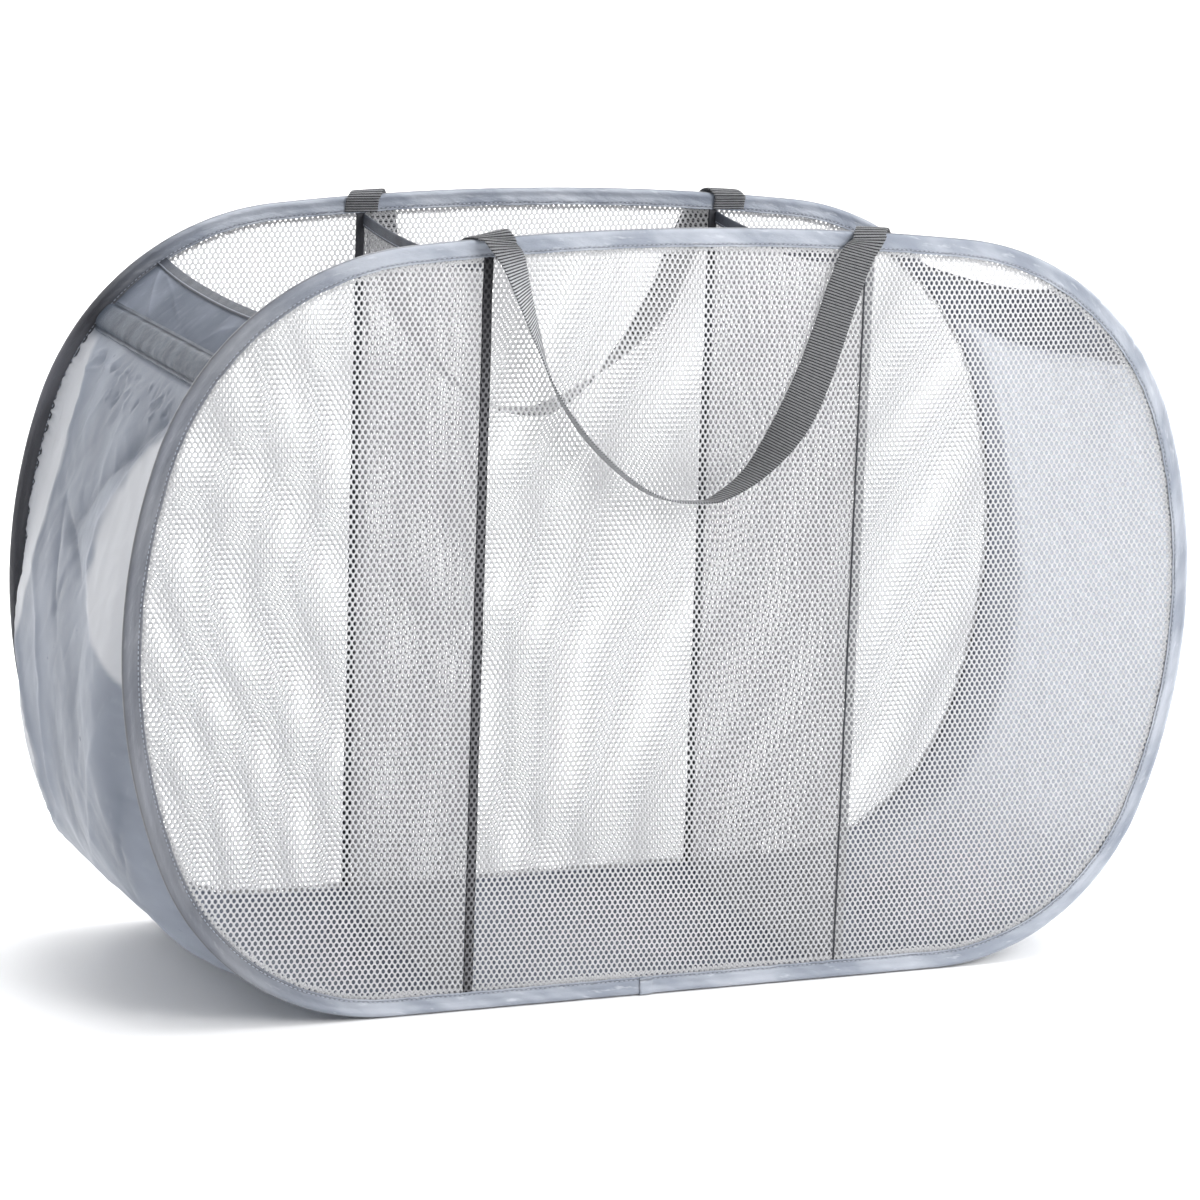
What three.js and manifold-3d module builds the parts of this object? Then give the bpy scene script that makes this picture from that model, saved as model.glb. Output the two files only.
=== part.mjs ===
// Pop up laundry hamper with three compartments. Two loops of sprung wire, each in a folded binding that
// holds a mesh face, stand one behind the other. One wide strip of taffeta runs from the mouth down the
// left end, under the floor and up the right end, and joins them. Two mesh dividers part the inside, and
// a webbing handle hangs over the crown of each face.
// Millimetres. +X is to the right, +Y to the back, +Z up. The origin is the middle of the footprint.
import * as THREE from 'three';
import { mergeVertices } from 'three/addons/utils/BufferGeometryUtils.js';
import Module from 'manifold-3d';

const wasm = await Module();
wasm.setup();

// Driving sizes of the frame
const frameWidth = 800;
const frameHeight = 535;
const faceSpacing = 280;

// The sprung loop is four tangent arcs a side, from the crown to the flat that stands on the floor.
// A radius is a share of half the frame's width, and a turn is in degrees.
const loopArcShares = [
  { radius: 5.36, turn: 5.5 },
  { radius: 0.505, turn: 65.9 },
  { radius: 1.006, turn: 40.6 },
  { radius: 0.436, turn: 68.0 },
];

// Wire, its crimped ferrule and the folded binding round them
const wireRadius = 1.25;
const wireEndGap = 1;
const ferruleWall = 0.35;
const ferruleLength = 26;
const crimpDepth = 0.15;
const crimpWidth = 3;
const bindingWidth = 12.5;
const bindingTape = 0.5;
const bindingEndGap = 0.8;
const beadWrapDegrees = 130;
const seamFromCentre = 24;
const seamGrip = 6;

// Fabrics
const meshThickness = 0.8;
const taffetaThickness = 0.8;
const hemTape = 0.6;
const hemReach = 8;
const hemSag = 9;

// Mouth, end sleeves and the stiffeners in them
const mouthFromSide = 98;
const sleeveFromMouth = 60;
const sleeveHeight = 27;
const sleeveCloth = 0.7;
const sleeveRidge = 4.8;
const sleeveCorner = 9;
const stiffenerCorner = 5;
const stiffenerWidth = 16;
const stiffenerThickness = 1.2;
const stiffenerShort = 3;

// Dividers and the tapes on their seams
const endCompartmentWidth = 262;
const dividerSag = 8;
const dividerBelowBinding = 1.5;
const seamTapeWidth = 7;
const seamTapeThickness = 0.8;

// Handles
const strapWidth = 25.4;
const strapThickness = 1.5;
const handlePastDivider = 5;
const handleDrop = 178;
const handleCrest = 2.5;
const handleTabMargin = 0.5;
const handleFromMesh = 1;

// The taffeta is cut full, so that it hangs out past the wires at the lower corners.
const stripFullness = 16;

// Clearance between pieces that are sewn or lie on each other
const fabricGap = 0.3;
const weldTolerance = 0.001;
const cutOverrun = 1;

// How finely the round stretches are cut
const loopSteps = 64;
const wireSides = 6;
const ferruleSides = 12;
const beadSteps = 6;
const stripSteps = 60;
const spanSteps = 12;
const strapSteps = 44;
const crestSteps = 8;
const arcStepDegrees = 2.5;

// Shares of the way from the mouth to the middle of the floor: where the taut strip starts to settle out
// to the frame's outline and where it has, and where its slack starts, is full, eases and ends.
const stripSettleShares = { from: 0.1, to: 0.5 };
const stripSlackShares = { start: 0.2, full: 0.46, ease: 0.48, end: 0.68 };
// Share of the half span in which the strip comes away from each stitched edge
const stripEdgeShare = 0.35;
// How far the strip's sections crowd towards the two mouths, where its hems fit it closely
const stripCrowdShare = 0.6;

// The hanging handle: half span and drop, as shares, from the crest to the bottom of the loop
const handleHangShares = [
  { span: 1, drop: 0 },
  { span: 0.965, drop: 0.07 },
  { span: 0.86, drop: 0.2 },
  { span: 0.76, drop: 0.37 },
  { span: 0.67, drop: 0.55 },
  { span: 0.55, drop: 0.73 },
  { span: 0.37, drop: 0.89 },
  { span: 0.17, drop: 0.98 },
  { span: 0, drop: 1 },
];
// Shares of the drop in which the strap turns on edge, and comes in to lie against the mesh
const handleTwistShare = 0.75;
const handleCloseShare = 0.6;

const colours = {
  binding: '#9aa1ad',
  taffeta: '#a4abb6',
  hem: '#868e9a',
  sleeve: '#7f8894',
  mesh: '#d9dadd',
  webbing: '#5d6065',
  tape: '#6f757e',
  steel: '#b8bbc0',
  stiffener: '#e8e8e6',
};

// Sizes that follow from the ones above
const mouthHalfWidth = frameWidth / 2 - mouthFromSide;
const dividerFromCentre = frameWidth / 2 - endCompartmentWidth;
const handleHalfSpan = dividerFromCentre + handlePastDivider;
const halfSpacing = faceSpacing / 2;
const beadInner = wireRadius + ferruleWall + 2 * fabricGap;
const beadRadius = beadInner + bindingTape;
const legGap = meshThickness / 2 + fabricGap;
const legOuter = legGap + bindingTape;
const stripInset = bindingWidth - bindingTape;
const stripHalfSpan = halfSpacing - legOuter - fabricGap;
const dividerHalfSpan = halfSpacing - meshThickness / 2 - seamTapeThickness - 2 * fabricGap;
const crestInner = beadRadius + fabricGap + handleCrest;
const strapOut = crestInner + strapThickness + fabricGap;

const lerp = THREE.MathUtils.lerp;
const smoothstep = THREE.MathUtils.smoothstep;
const point = (x, y, z) => new THREE.Vector3(x, y, z);
const steps = (count, make) => Array.from({ length: count + 1 }, (_, i) => make(i / count));

// Solids

function signedVolume(positions, faces) {
  const corner = (i) => point(positions[3 * i], positions[3 * i + 1], positions[3 * i + 2]);
  let six = 0;
  for (let i = 0; i < faces.length; i += 3) {
    six += corner(faces[i]).dot(corner(faces[i + 1]).cross(corner(faces[i + 2])));
  }
  return six / 6;
}

// A geometry whose faces all point out of the solid
function outwardGeometry(positions, faces) {
  const geometry = new THREE.BufferGeometry();
  geometry.setAttribute('position', new THREE.Float32BufferAttribute(positions, 3));
  geometry.setIndex(signedVolume(positions, faces) < 0 ? faces.slice().reverse() : faces);
  geometry.computeVertexNormals();
  return geometry;
}

// The same solid with one vertex at each corner and nothing but positions
function bareGeometry(geometry) {
  const bare = geometry.clone();
  bare.deleteAttribute('normal');
  bare.deleteAttribute('uv');
  return mergeVertices(bare, weldTolerance);
}

// Triangles over one end section of a sweep
function capFaces(ring, first) {
  const normal = point(0, 0, 0);
  ring.forEach((p, i) => normal.add(p.clone().cross(ring[(i + 1) % ring.length])));
  normal.normalize();
  const across = ring[1].clone().sub(ring[0]).projectOnPlane(normal).normalize();
  const up = normal.clone().cross(across);
  const flat = ring.map((p) => new THREE.Vector2(p.dot(across), p.dot(up)));
  return THREE.ShapeUtils.triangulateShape(flat, []).flat().map((i) => first + i);
}

// The same for the section of a thin sheet, whose points go along one side and come back along the other
function sheetCapFaces(ring, first) {
  const faces = [];
  for (let i = 0; i + 1 < ring.length / 2; i += 1) {
    const back = ring.length - 1 - i;
    faces.push(i, i + 1, back - 1, i, back - 1, back);
  }
  return faces.map((i) => first + i);
}

// A solid swept through sections of equal count, with a cap at each end
function sweptSolid(rings, makeCap = capFaces) {
  const count = rings[0].length;
  const last = (rings.length - 1) * count;
  const faces = [...makeCap(rings[0], 0).reverse(), ...makeCap(rings[rings.length - 1], last)];
  for (let here = 0; here < last; here += count) {
    const next = here + count;
    for (let j = 0; j < count; j += 1) {
      const k = (j + 1) % count;
      faces.push(here + j, here + k, next + k, here + j, next + k, next + j);
    }
  }
  return outwardGeometry(rings.flat().flatMap((p) => [p.x, p.y, p.z]), faces);
}

function toManifold(geometry) {
  const bare = bareGeometry(geometry);
  return new wasm.Manifold(new wasm.Mesh({
    numProp: 3,
    vertProperties: new Float32Array(bare.attributes.position.array),
    triVerts: new Uint32Array(bare.index.array),
  }));
}

function fromManifold(solid) {
  const mesh = solid.getMesh();
  return outwardGeometry(Array.from(mesh.vertProperties), Array.from(mesh.triVerts));
}

// The sprung loop

// Outer edge of the binding, clockwise from the middle of the crown, seen from the front
function loopOutline() {
  const half = [new THREE.Vector2(0, 0)];
  let heading = 0;
  for (const { radius, turn } of loopArcShares) {
    const count = Math.ceil(turn / arcStepDegrees);
    const step = THREE.MathUtils.degToRad(turn) / count;
    const chord = 2 * radius * Math.sin(step / 2);
    for (let i = 0; i < count; i += 1) {
      const slope = heading - step / 2;
      const at = half[half.length - 1];
      half.push(new THREE.Vector2(at.x + chord * Math.cos(slope), at.y + chord * Math.sin(slope)));
      heading -= step;
    }
  }
  const widest = Math.max(...half.map((p) => p.x));
  const lowest = Math.min(...half.map((p) => p.y));
  const right = half.map((p) => (
    point((p.x / widest) * (frameWidth / 2), 0, (1 - p.y / lowest) * frameHeight)
  ));
  const flatEnd = right[right.length - 1].x;
  right.push(...steps(spanSteps, (share) => point(lerp(flatEnd, 0, share), 0, 0)).slice(1));
  const left = right.slice(1, -1).reverse().map((p) => point(-p.x, 0, p.z));
  return right.concat(left);
}

const loop = new THREE.CatmullRomCurve3(loopOutline(), true);
loop.arcLengthDivisions = 40 * loopSteps;
const loopLength = loop.getLength();

// A place on the loop: share 0 is the crown and 0.5 the floor. The inset is measured in from the outline.
function loopPoint(share, inset, y) {
  const turn = THREE.MathUtils.euclideanModulo(share, 1);
  const at = loop.getPointAt(turn);
  const along = loop.getTangentAt(turn);
  return point(at.x + along.z * inset, y, Math.max(at.z, 0) - along.x * inset);
}

// Share of the loop at which the right half of the crown reaches a distance from the middle
function shareAtWidth(x) {
  let low = 0;
  let high = 0.25;
  while (high - low > weldTolerance / loopLength) {
    const middle = (low + high) / 2;
    if (loop.getPointAt(middle).x < x) {
      low = middle;
    } else {
      high = middle;
    }
  }
  return low;
}

const crownHeight = (x) => loop.getPointAt(shareAtWidth(x)).z;
const mouthShare = shareAtWidth(mouthHalfWidth);
const sleeveShare = mouthShare + sleeveFromMouth / loopLength;
const seamShare = 0.5 + seamFromCentre / loopLength;

// Stations round the loop for a sweep that starts and ends at the seam
function seamStations(gap) {
  const trim = gap / 2 / loopLength;
  return steps(loopSteps, (part) => lerp(seamShare + trim, seamShare + 1 - trim, part));
}

function wireGeometry(y) {
  return sweptSolid(seamStations(wireEndGap).map((share) => (
    steps(wireSides, (part) => {
      const angle = 2 * Math.PI * part;
      const inset = beadRadius - wireRadius * Math.cos(angle);
      return loopPoint(share, inset, y + wireRadius * Math.sin(angle));
    }).slice(1)
  )));
}

// A tube round the wire's two ends, crimped near each end, with its axis along X
function ferruleGeometry() {
  const bore = wireRadius + fabricGap;
  const outer = bore + ferruleWall;
  const half = ferruleLength / 2;
  const profile = [[bore, -half], [outer, -half]];
  for (const middle of [2 * crimpWidth - half, half - 2 * crimpWidth]) {
    profile.push([outer, middle - crimpWidth / 2], [outer - crimpDepth, middle - crimpWidth / 4]);
    profile.push([outer - crimpDepth, middle + crimpWidth / 4], [outer, middle + crimpWidth / 2]);
  }
  profile.push([outer, half], [bore, half], [bore, -half]);
  const points = profile.map(([radius, along]) => new THREE.Vector2(radius, along));
  const tube = bareGeometry(new THREE.LatheGeometry(points, ferruleSides));
  const solid = outwardGeometry(Array.from(tube.attributes.position.array), Array.from(tube.index.array));
  return solid.rotateZ(Math.PI / 2);
}

// Section of the folded binding: in from its outer edge, and to the side. The fold is a bead round the
// wire, and past it the two legs lie either side of the mesh.
function bindingSection() {
  const wrap = THREE.MathUtils.degToRad(beadWrapDegrees);
  const neck = 2 * (beadRadius + bindingTape);
  const arc = (radius, from, to) => steps(beadSteps, (part) => {
    const angle = lerp(from, to, part);
    return [beadRadius - radius * Math.cos(angle), radius * Math.sin(angle)];
  });
  return [
    [bindingWidth, -legOuter],
    [neck, -legOuter],
    ...arc(beadRadius, -wrap, wrap),
    [neck, legOuter],
    [bindingWidth, legOuter],
    [bindingWidth, legGap],
    [neck, legGap],
    ...arc(beadInner, wrap, -wrap),
    [neck, -legGap],
    [bindingWidth, -legGap],
  ];
}

function bindingGeometry(y) {
  const section = bindingSection();
  return sweptSolid(seamStations(bindingEndGap).map((share) => (
    section.map(([inset, side]) => loopPoint(share, inset, y + side))
  )));
}

// A mesh face, held between the binding's legs
function meshFaceGeometry(y) {
  const edge = bindingWidth - seamGrip + fabricGap;
  const outline = steps(loopSteps, (share) => loopPoint(share, edge, 0)).slice(1);
  const shape = new THREE.Shape(outline.map((p) => new THREE.Vector2(p.x, p.z)));
  const sheet = new THREE.ExtrudeGeometry(shape, { depth: meshThickness, bevelEnabled: false });
  return sheet.translate(0, 0, -meshThickness / 2).rotateX(Math.PI / 2).translate(0, y, 0);
}

// The taffeta strip

// How far the middle of the span lies out from the stitched edges, part of the way from mouth to floor
function stripRise(way) {
  const slack = stripSlackShares;
  const settled = smoothstep(way, stripSettleShares.from, stripSettleShares.to);
  const hanging = smoothstep(way, slack.start, slack.full) * (1 - smoothstep(way, slack.ease, slack.end));
  return stripInset * settled + stripFullness * hanging;
}

// Share of that rise at a place across the span, from -1 at the front edge to 1 at the back edge
function spanShare(across) {
  const fromEdge = Math.min(1, (1 - Math.abs(across)) / stripEdgeShare);
  return Math.sin((fromEdge * Math.PI) / 2);
}

// A place on the strip. The part runs from 0 at the right mouth, under the floor, to 1 at the left mouth.
function stripPlace(part, across, depth) {
  const sag = (hemSag * spanShare(across)) / loopLength;
  const share = lerp(mouthShare + sag, 1 - mouthShare - sag, part);
  const way = 1 - Math.abs(2 * part - 1);
  const inset = stripInset - stripRise(way) * spanShare(across) + depth;
  const at = loopPoint(share, inset, across * stripHalfSpan);
  at.z = Math.max(at.z, depth);
  return at;
}

function stripGeometry() {
  const parts = steps(stripSteps, (step) => (
    lerp(step, (1 - Math.cos(Math.PI * step)) / 2, stripCrowdShare)
  ));
  return sweptSolid(steps(spanSteps, (j) => {
    const side = (depth) => parts.map((part) => stripPlace(part, 2 * j - 1, depth));
    return side(0).concat(side(taffetaThickness).reverse());
  }), sheetCapFaces);
}

// A hairpin of tape round an edge of cloth: along the cloth from the edge, and out from its middle
function hemSection(clothThickness) {
  const inner = clothThickness / 2 + fabricGap;
  const outer = inner + hemTape;
  return [
    [hemReach, -outer],
    [-fabricGap, -outer],
    [-fabricGap - hemTape, -inner],
    [-fabricGap - hemTape, inner],
    [-fabricGap, outer],
    [hemReach, outer],
    [hemReach, inner],
    [-fabricGap, inner],
    [-fabricGap, -inner],
    [hemReach, -inner],
  ];
}

// The hem of one end's mouth edge. The side is 1 for the right end and -1 for the left.
function mouthHemGeometry(side) {
  const section = hemSection(taffetaThickness);
  return sweptSolid(steps(spanSteps, (j) => {
    const across = 2 * j - 1;
    const edge = mouthShare + (hemSag * spanShare(across)) / loopLength;
    return section.map(([along, out]) => loopPoint(
      side * (edge + along / loopLength),
      stripInset + taffetaThickness / 2 - out,
      across * stripHalfSpan,
    ));
  }));
}

// End sleeves and stiffeners, each in a flat frame: X along the loop, Y to the back, Z out of the cloth

const sleeveHalfLength = stripHalfSpan - fabricGap;
const slotHalf = stiffenerWidth / 2 + fabricGap;
const slotTop = sleeveCloth + stiffenerThickness + 2 * fabricGap;

// Section of the pocket that is sewn on: stitched lips and a ridged middle
function sleeveSection() {
  const lip = sleeveHeight / 2;
  const foot = slotHalf + 2 * sleeveCloth;
  const shoulder = slotTop + sleeveCloth;
  const section = new THREE.Shape();
  section.moveTo(-lip, 0);
  section.lineTo(lip, 0);
  section.lineTo(lip, sleeveCloth);
  section.lineTo(foot, sleeveCloth);
  section.lineTo(slotHalf, shoulder);
  section.quadraticCurveTo(slotHalf / 2, sleeveRidge, 0, sleeveRidge);
  section.quadraticCurveTo(-slotHalf / 2, sleeveRidge, -slotHalf, shoulder);
  section.lineTo(-foot, sleeveCloth);
  section.lineTo(-lip, sleeveCloth);
  return section;
}

// A rectangle with round corners, centred
function roundedPlate(width, length, corner, depth) {
  const x = width / 2 - corner;
  const y = length / 2 - corner;
  const shape = new THREE.Shape();
  shape.absarc(x, y, corner, 0, Math.PI / 2);
  shape.absarc(-x, y, corner, Math.PI / 2, Math.PI);
  shape.absarc(-x, -y, corner, Math.PI, 1.5 * Math.PI);
  shape.absarc(x, -y, corner, 1.5 * Math.PI, 2 * Math.PI);
  return new THREE.ExtrudeGeometry(shape, { depth, bevelEnabled: false, curveSegments: beadSteps });
}

// The pocket is open at both ends, and its back end has round corners.
function sleeveGeometry() {
  const length = 2 * sleeveHalfLength;
  const pocket = new THREE.ExtrudeGeometry(sleeveSection(), {
    depth: length,
    bevelEnabled: false,
    curveSegments: beadSteps,
  });
  pocket.rotateX(Math.PI / 2).translate(0, sleeveHalfLength, 0);
  const slot = new THREE.BoxGeometry(2 * slotHalf, length + 2 * cutOverrun, slotTop - sleeveCloth);
  slot.translate(0, 0, (slotTop + sleeveCloth) / 2);
  const plan = roundedPlate(
    sleeveHeight + 2 * cutOverrun,
    length + sleeveCorner + cutOverrun,
    sleeveCorner + cutOverrun,
    sleeveRidge + 2 * cutOverrun,
  );
  plan.translate(0, -(sleeveCorner + cutOverrun) / 2, -cutOverrun);
  return fromManifold(toManifold(pocket).subtract(toManifold(slot)).intersect(toManifold(plan)));
}

function stiffenerGeometry() {
  const length = 2 * (sleeveHalfLength - stiffenerShort);
  const strip = roundedPlate(stiffenerWidth, length, stiffenerCorner, stiffenerThickness);
  return strip.translate(0, 0, sleeveCloth + fabricGap);
}

// Sets a mesh on the outside of the strip, with its Z out and its X along the loop
function setOnStrip(mesh, share) {
  const at = loopPoint(share, stripInset - fabricGap, 0);
  const out = at.clone().sub(loopPoint(share, stripInset, 0)).normalize();
  const back = point(0, 1, 0);
  mesh.quaternion.setFromRotationMatrix(new THREE.Matrix4().makeBasis(back.clone().cross(out), back, out));
  mesh.position.copy(at);
  return mesh;
}

// Dividers

const stitchedHeight = crownHeight(dividerFromCentre) - bindingWidth;
const dividerTop = (y) => {
  const edge = stitchedHeight - dividerBelowBinding - fabricGap - hemTape;
  return edge - dividerSag * (1 - (y / dividerHalfSpan) ** 2);
};

function dividerGeometry(x) {
  const bottom = steps(spanSteps, (part) => {
    const floor = stripPlace(1 / 2, 2 * part - 1, taffetaThickness);
    const y = THREE.MathUtils.clamp(floor.y, -dividerHalfSpan, dividerHalfSpan);
    return new THREE.Vector2(y, floor.z + fabricGap);
  });
  const top = steps(spanSteps, (part) => {
    const y = lerp(dividerHalfSpan, -dividerHalfSpan, part);
    return new THREE.Vector2(y, dividerTop(y));
  });
  const sheet = new THREE.ExtrudeGeometry(new THREE.Shape(bottom.concat(top)), {
    depth: meshThickness,
    bevelEnabled: false,
  });
  sheet.applyMatrix4(new THREE.Matrix4().makeBasis(point(0, 1, 0), point(0, 0, 1), point(1, 0, 0)));
  return sheet.translate(x - meshThickness / 2, 0, 0);
}

function dividerHemGeometry(x) {
  const section = hemSection(meshThickness);
  return sweptSolid(steps(spanSteps, (part) => {
    const y = lerp(-dividerHalfSpan, dividerHalfSpan, part);
    return section.map(([along, out]) => point(x + out, y, dividerTop(y) - along));
  }));
}

// A tape down the inside of a mesh face, over a divider's seam
function seamTapeGeometry(x, y) {
  const low = bindingWidth + 2 * fabricGap;
  const high = crownHeight(Math.abs(x) + seamTapeWidth / 2) - bindingWidth - fabricGap;
  const tape = new THREE.BoxGeometry(seamTapeWidth, seamTapeThickness, high - low);
  const inside = meshThickness / 2 + fabricGap + seamTapeThickness / 2;
  return tape.translate(x, y - Math.sign(y) * inside, (high + low) / 2);
}

// Handles. Each swings about the wire, so its places are given from there: out from the face, and up.

const pivotHeight = crownHeight(handleHalfSpan) - beadRadius;

// The sewn end of the strap: over the crest, and down the inside of the binding
function handleTabGeometry(x, faceY) {
  const tabDrop = bindingWidth - beadRadius - handleTabMargin;
  const seat = legOuter + fabricGap;
  const wrap = (radius) => steps(crestSteps, (part) => (
    new THREE.Vector2(radius * Math.cos(Math.PI * part), radius * Math.sin(Math.PI * part))
  ));
  const inner = [...wrap(crestInner), new THREE.Vector2(-seat, -tabDrop)];
  const outer = [
    ...wrap(crestInner + strapThickness),
    new THREE.Vector2(-seat - strapThickness, -tabDrop),
  ];
  const shape = new THREE.Shape(inner.concat(outer.reverse()));
  const tab = new THREE.ExtrudeGeometry(shape, { depth: strapWidth, bevelEnabled: false });
  const out = Math.sign(faceY);
  tab.translate(0, 0, -strapWidth / 2);
  tab.applyMatrix4(new THREE.Matrix4().makeBasis(point(0, out, 0), point(0, 0, 1), point(out, 0, 0)));
  return tab.translate(x, faceY, pivotHeight);
}

// Middle line of the hanging strap and its turn towards its edge, from the left crest to the right one
function handleStations() {
  const right = handleHangShares.map(({ span, drop }) => [span * handleHalfSpan, drop]);
  const whole = [...right.map(([x, drop]) => [-x, drop]), ...right.slice(0, -1).reverse()];
  return whole.map(([x, drop]) => {
    const turn = (Math.PI / 2) * smoothstep(drop, 0, handleTwistShare);
    const meshSide = lerp(strapOut, handleFromMesh + meshThickness / 2, smoothstep(drop, 0, handleCloseShare));
    const out = meshSide + strapThickness / 2 + (strapWidth / 2) * Math.sin(turn);
    return { at: point(x, out, -drop * handleDrop), drop };
  });
}

function handleGeometry(faceY) {
  const side = Math.sign(faceY);
  const stations = handleStations();
  const line = new THREE.CatmullRomCurve3(stations.map(({ at }) => (
    point(at.x, faceY + side * at.y, pivotHeight + at.z)
  )));
  const out = point(0, side, 0);
  return sweptSolid(steps(strapSteps, (part) => {
    const middle = line.getPointAt(part);
    const along = line.getTangentAt(part);
    const drop = (pivotHeight - middle.z) / handleDrop;
    const turn = (Math.PI / 2) * smoothstep(drop, 0, handleTwistShare);
    const outward = out.clone().projectOnPlane(along).normalize();
    const upward = along.clone().cross(outward).multiplyScalar(side);
    const face = outward.multiplyScalar(Math.cos(turn)).add(upward.multiplyScalar(Math.sin(turn)));
    const width = along.clone().cross(face);
    const corner = (w, t) => middle.clone()
      .addScaledVector(width, (w * strapWidth) / 2)
      .addScaledVector(face, (t * strapThickness) / 2);
    return [corner(-1, -1), corner(1, -1), corner(1, 1), corner(-1, 1)];
  }));
}

// Assembly

function surface(colour, roughness, metalness = 0) {
  return new THREE.MeshStandardMaterial({ color: colour, roughness, metalness });
}

function piece(name, geometry, material) {
  const mesh = new THREE.Mesh(geometry, material);
  mesh.name = name;
  return mesh;
}

// One face: the loop with its binding and mesh, the divider tapes on it and its handle
function buildFace(name, y) {
  const group = new THREE.Group();
  group.add(
    piece(`${name}_wire`, wireGeometry(y), surface(colours.steel, 0.35, 1)),
    piece(
      `${name}_ferrule`,
      ferruleGeometry().translate(-seamFromCentre, y, beadRadius),
      surface(colours.steel, 0.4, 1),
    ),
    piece(`${name}_binding`, bindingGeometry(y), surface(colours.binding, 0.6)),
    piece(`${name}_mesh`, meshFaceGeometry(y), surface(colours.mesh, 0.8)),
    piece(`${name}_handle`, handleGeometry(y), surface(colours.webbing, 0.85)),
  );
  for (const [end, side] of [['left', -1], ['right', 1]]) {
    group.add(
      piece(
        `${name}_handle_${end}_tab`,
        handleTabGeometry(side * handleHalfSpan, y),
        surface(colours.webbing, 0.85),
      ),
      piece(
        `${name}_${end}_seam_tape`,
        seamTapeGeometry(side * dividerFromCentre, y),
        surface(colours.tape, 0.7),
      ),
    );
  }
  return group;
}

// One end of the strip, with its mouth hem, sleeve and stiffener, and the divider on that side
function buildEnd(name, side) {
  const group = new THREE.Group();
  const share = side > 0 ? sleeveShare : 1 - sleeveShare;
  const x = side * dividerFromCentre;
  group.add(
    piece(`${name}_mouth_hem`, mouthHemGeometry(side), surface(colours.hem, 0.65)),
    setOnStrip(piece(`${name}_sleeve`, sleeveGeometry(), surface(colours.sleeve, 0.65)), share),
    setOnStrip(piece(`${name}_stiffener`, stiffenerGeometry(), surface(colours.stiffener, 0.5)), share),
    piece(`${name}_divider`, dividerGeometry(x), surface(colours.mesh, 0.8)),
    piece(`${name}_divider_hem`, dividerHemGeometry(x), surface(colours.hem, 0.7)),
  );
  return group;
}

const hamper = new THREE.Group();
hamper.add(
  buildFace('back', halfSpacing),
  buildFace('front', -halfSpacing),
  buildEnd('left', -1),
  buildEnd('right', 1),
  piece('taffeta_strip', stripGeometry(), surface(colours.taffeta, 0.45)),
);

export default hamper;
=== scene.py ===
import math

import bpy
import numpy as np
from mathutils import Matrix, Vector, noise


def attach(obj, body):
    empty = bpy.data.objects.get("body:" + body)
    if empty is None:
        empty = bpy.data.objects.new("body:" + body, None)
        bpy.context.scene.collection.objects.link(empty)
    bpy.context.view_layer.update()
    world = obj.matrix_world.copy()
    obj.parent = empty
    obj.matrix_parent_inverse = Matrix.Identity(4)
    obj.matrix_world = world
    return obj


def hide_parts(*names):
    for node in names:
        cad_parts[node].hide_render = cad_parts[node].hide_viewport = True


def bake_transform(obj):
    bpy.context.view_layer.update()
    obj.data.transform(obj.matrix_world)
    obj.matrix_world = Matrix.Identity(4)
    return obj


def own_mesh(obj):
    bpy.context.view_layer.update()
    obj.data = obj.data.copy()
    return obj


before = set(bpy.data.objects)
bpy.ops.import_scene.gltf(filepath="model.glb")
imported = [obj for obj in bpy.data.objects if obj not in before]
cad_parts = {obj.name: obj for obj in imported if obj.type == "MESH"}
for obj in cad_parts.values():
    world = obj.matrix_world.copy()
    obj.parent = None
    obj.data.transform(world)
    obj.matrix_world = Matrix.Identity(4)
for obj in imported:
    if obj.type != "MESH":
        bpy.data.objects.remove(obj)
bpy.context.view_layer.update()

# Sizes of the hamper, in metres
FRAME_WIDTH = 0.800
FRAME_HEIGHT = 0.535
HALF_SPACING = 0.140
BINDING_WIDTH = 0.0125
BINDING_TAPE = 0.0005
BEAD_RADIUS = 0.0027
LEG_OUTER = 0.0012
STITCH_INSET = 0.0017
SEAM_X = -0.024
LAP = 0.010
STRIP_INSET = 0.012
STRIP_HALF_SPAN = 0.1389
STRIP_DEPTH = 0.0004
STRIP_FULLNESS = 0.016
MOUTH_HALF_WIDTH = 0.302
HEM_REACH = 0.008
SLEEVE_FROM_MOUTH = 0.060
SLEEVE_HEIGHT = 0.027
SLEEVE_RIDGE = 0.0048
SLEEVE_CORNER = 0.009
STIFFENER_HALF_LENGTH = 0.135
STIFFENER_HALF_WIDTH = 0.008
STIFFENER_CORNER = 0.005
DIVIDER_X = 0.138
DIVIDER_HALF_SPAN = 0.1388
DIVIDER_SAG = 0.008
SEAM_TAPE = 0.007
STRAP_WIDTH = 0.0254
STRAP_THICKNESS = 0.0015
STRAP_BEND = 0.0048
STRAP_SLANT = 0.0034
STRAP_END_SHIFT = 0.0054
HANDLE_SPAN = 0.143
NET_PITCH = 0.0041
NET_ROW = 0.0033
NET_HOLE = (0.00116, 0.00153)
DIVIDER_HOLE = (0.00082, 0.00122)
NET_EDGE = 0.0036

# Arcs of a loop from the middle of its crown down to its floor: radii, which are scaled to the frame's size,
# and turns in degrees
LOOP_ARCS = ((5.36, 5.5), (0.505, 65.9), (1.006, 40.6), (0.436, 68.0))

# Where the strip changes: below the sleeve, where an end leaves its upright part, and on the floor, all from
# the mouth, and where the back binding's shadow is painted on an end, from the middle of the span
BELOW_SLEEVE = (0.072, 0.090)
UPRIGHT_END = (0.42, 0.50)
ON_FLOOR = (0.50, 0.62)
BACK_SHADE = (0.102, 0.120)

# Where each divider's seam lies on the front face and on the back one, to the left (-1) and right (1)
DIVIDER_ENDS = {-1: (-0.1520, -0.1385), 1: (0.1285, 0.1420)}

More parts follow.
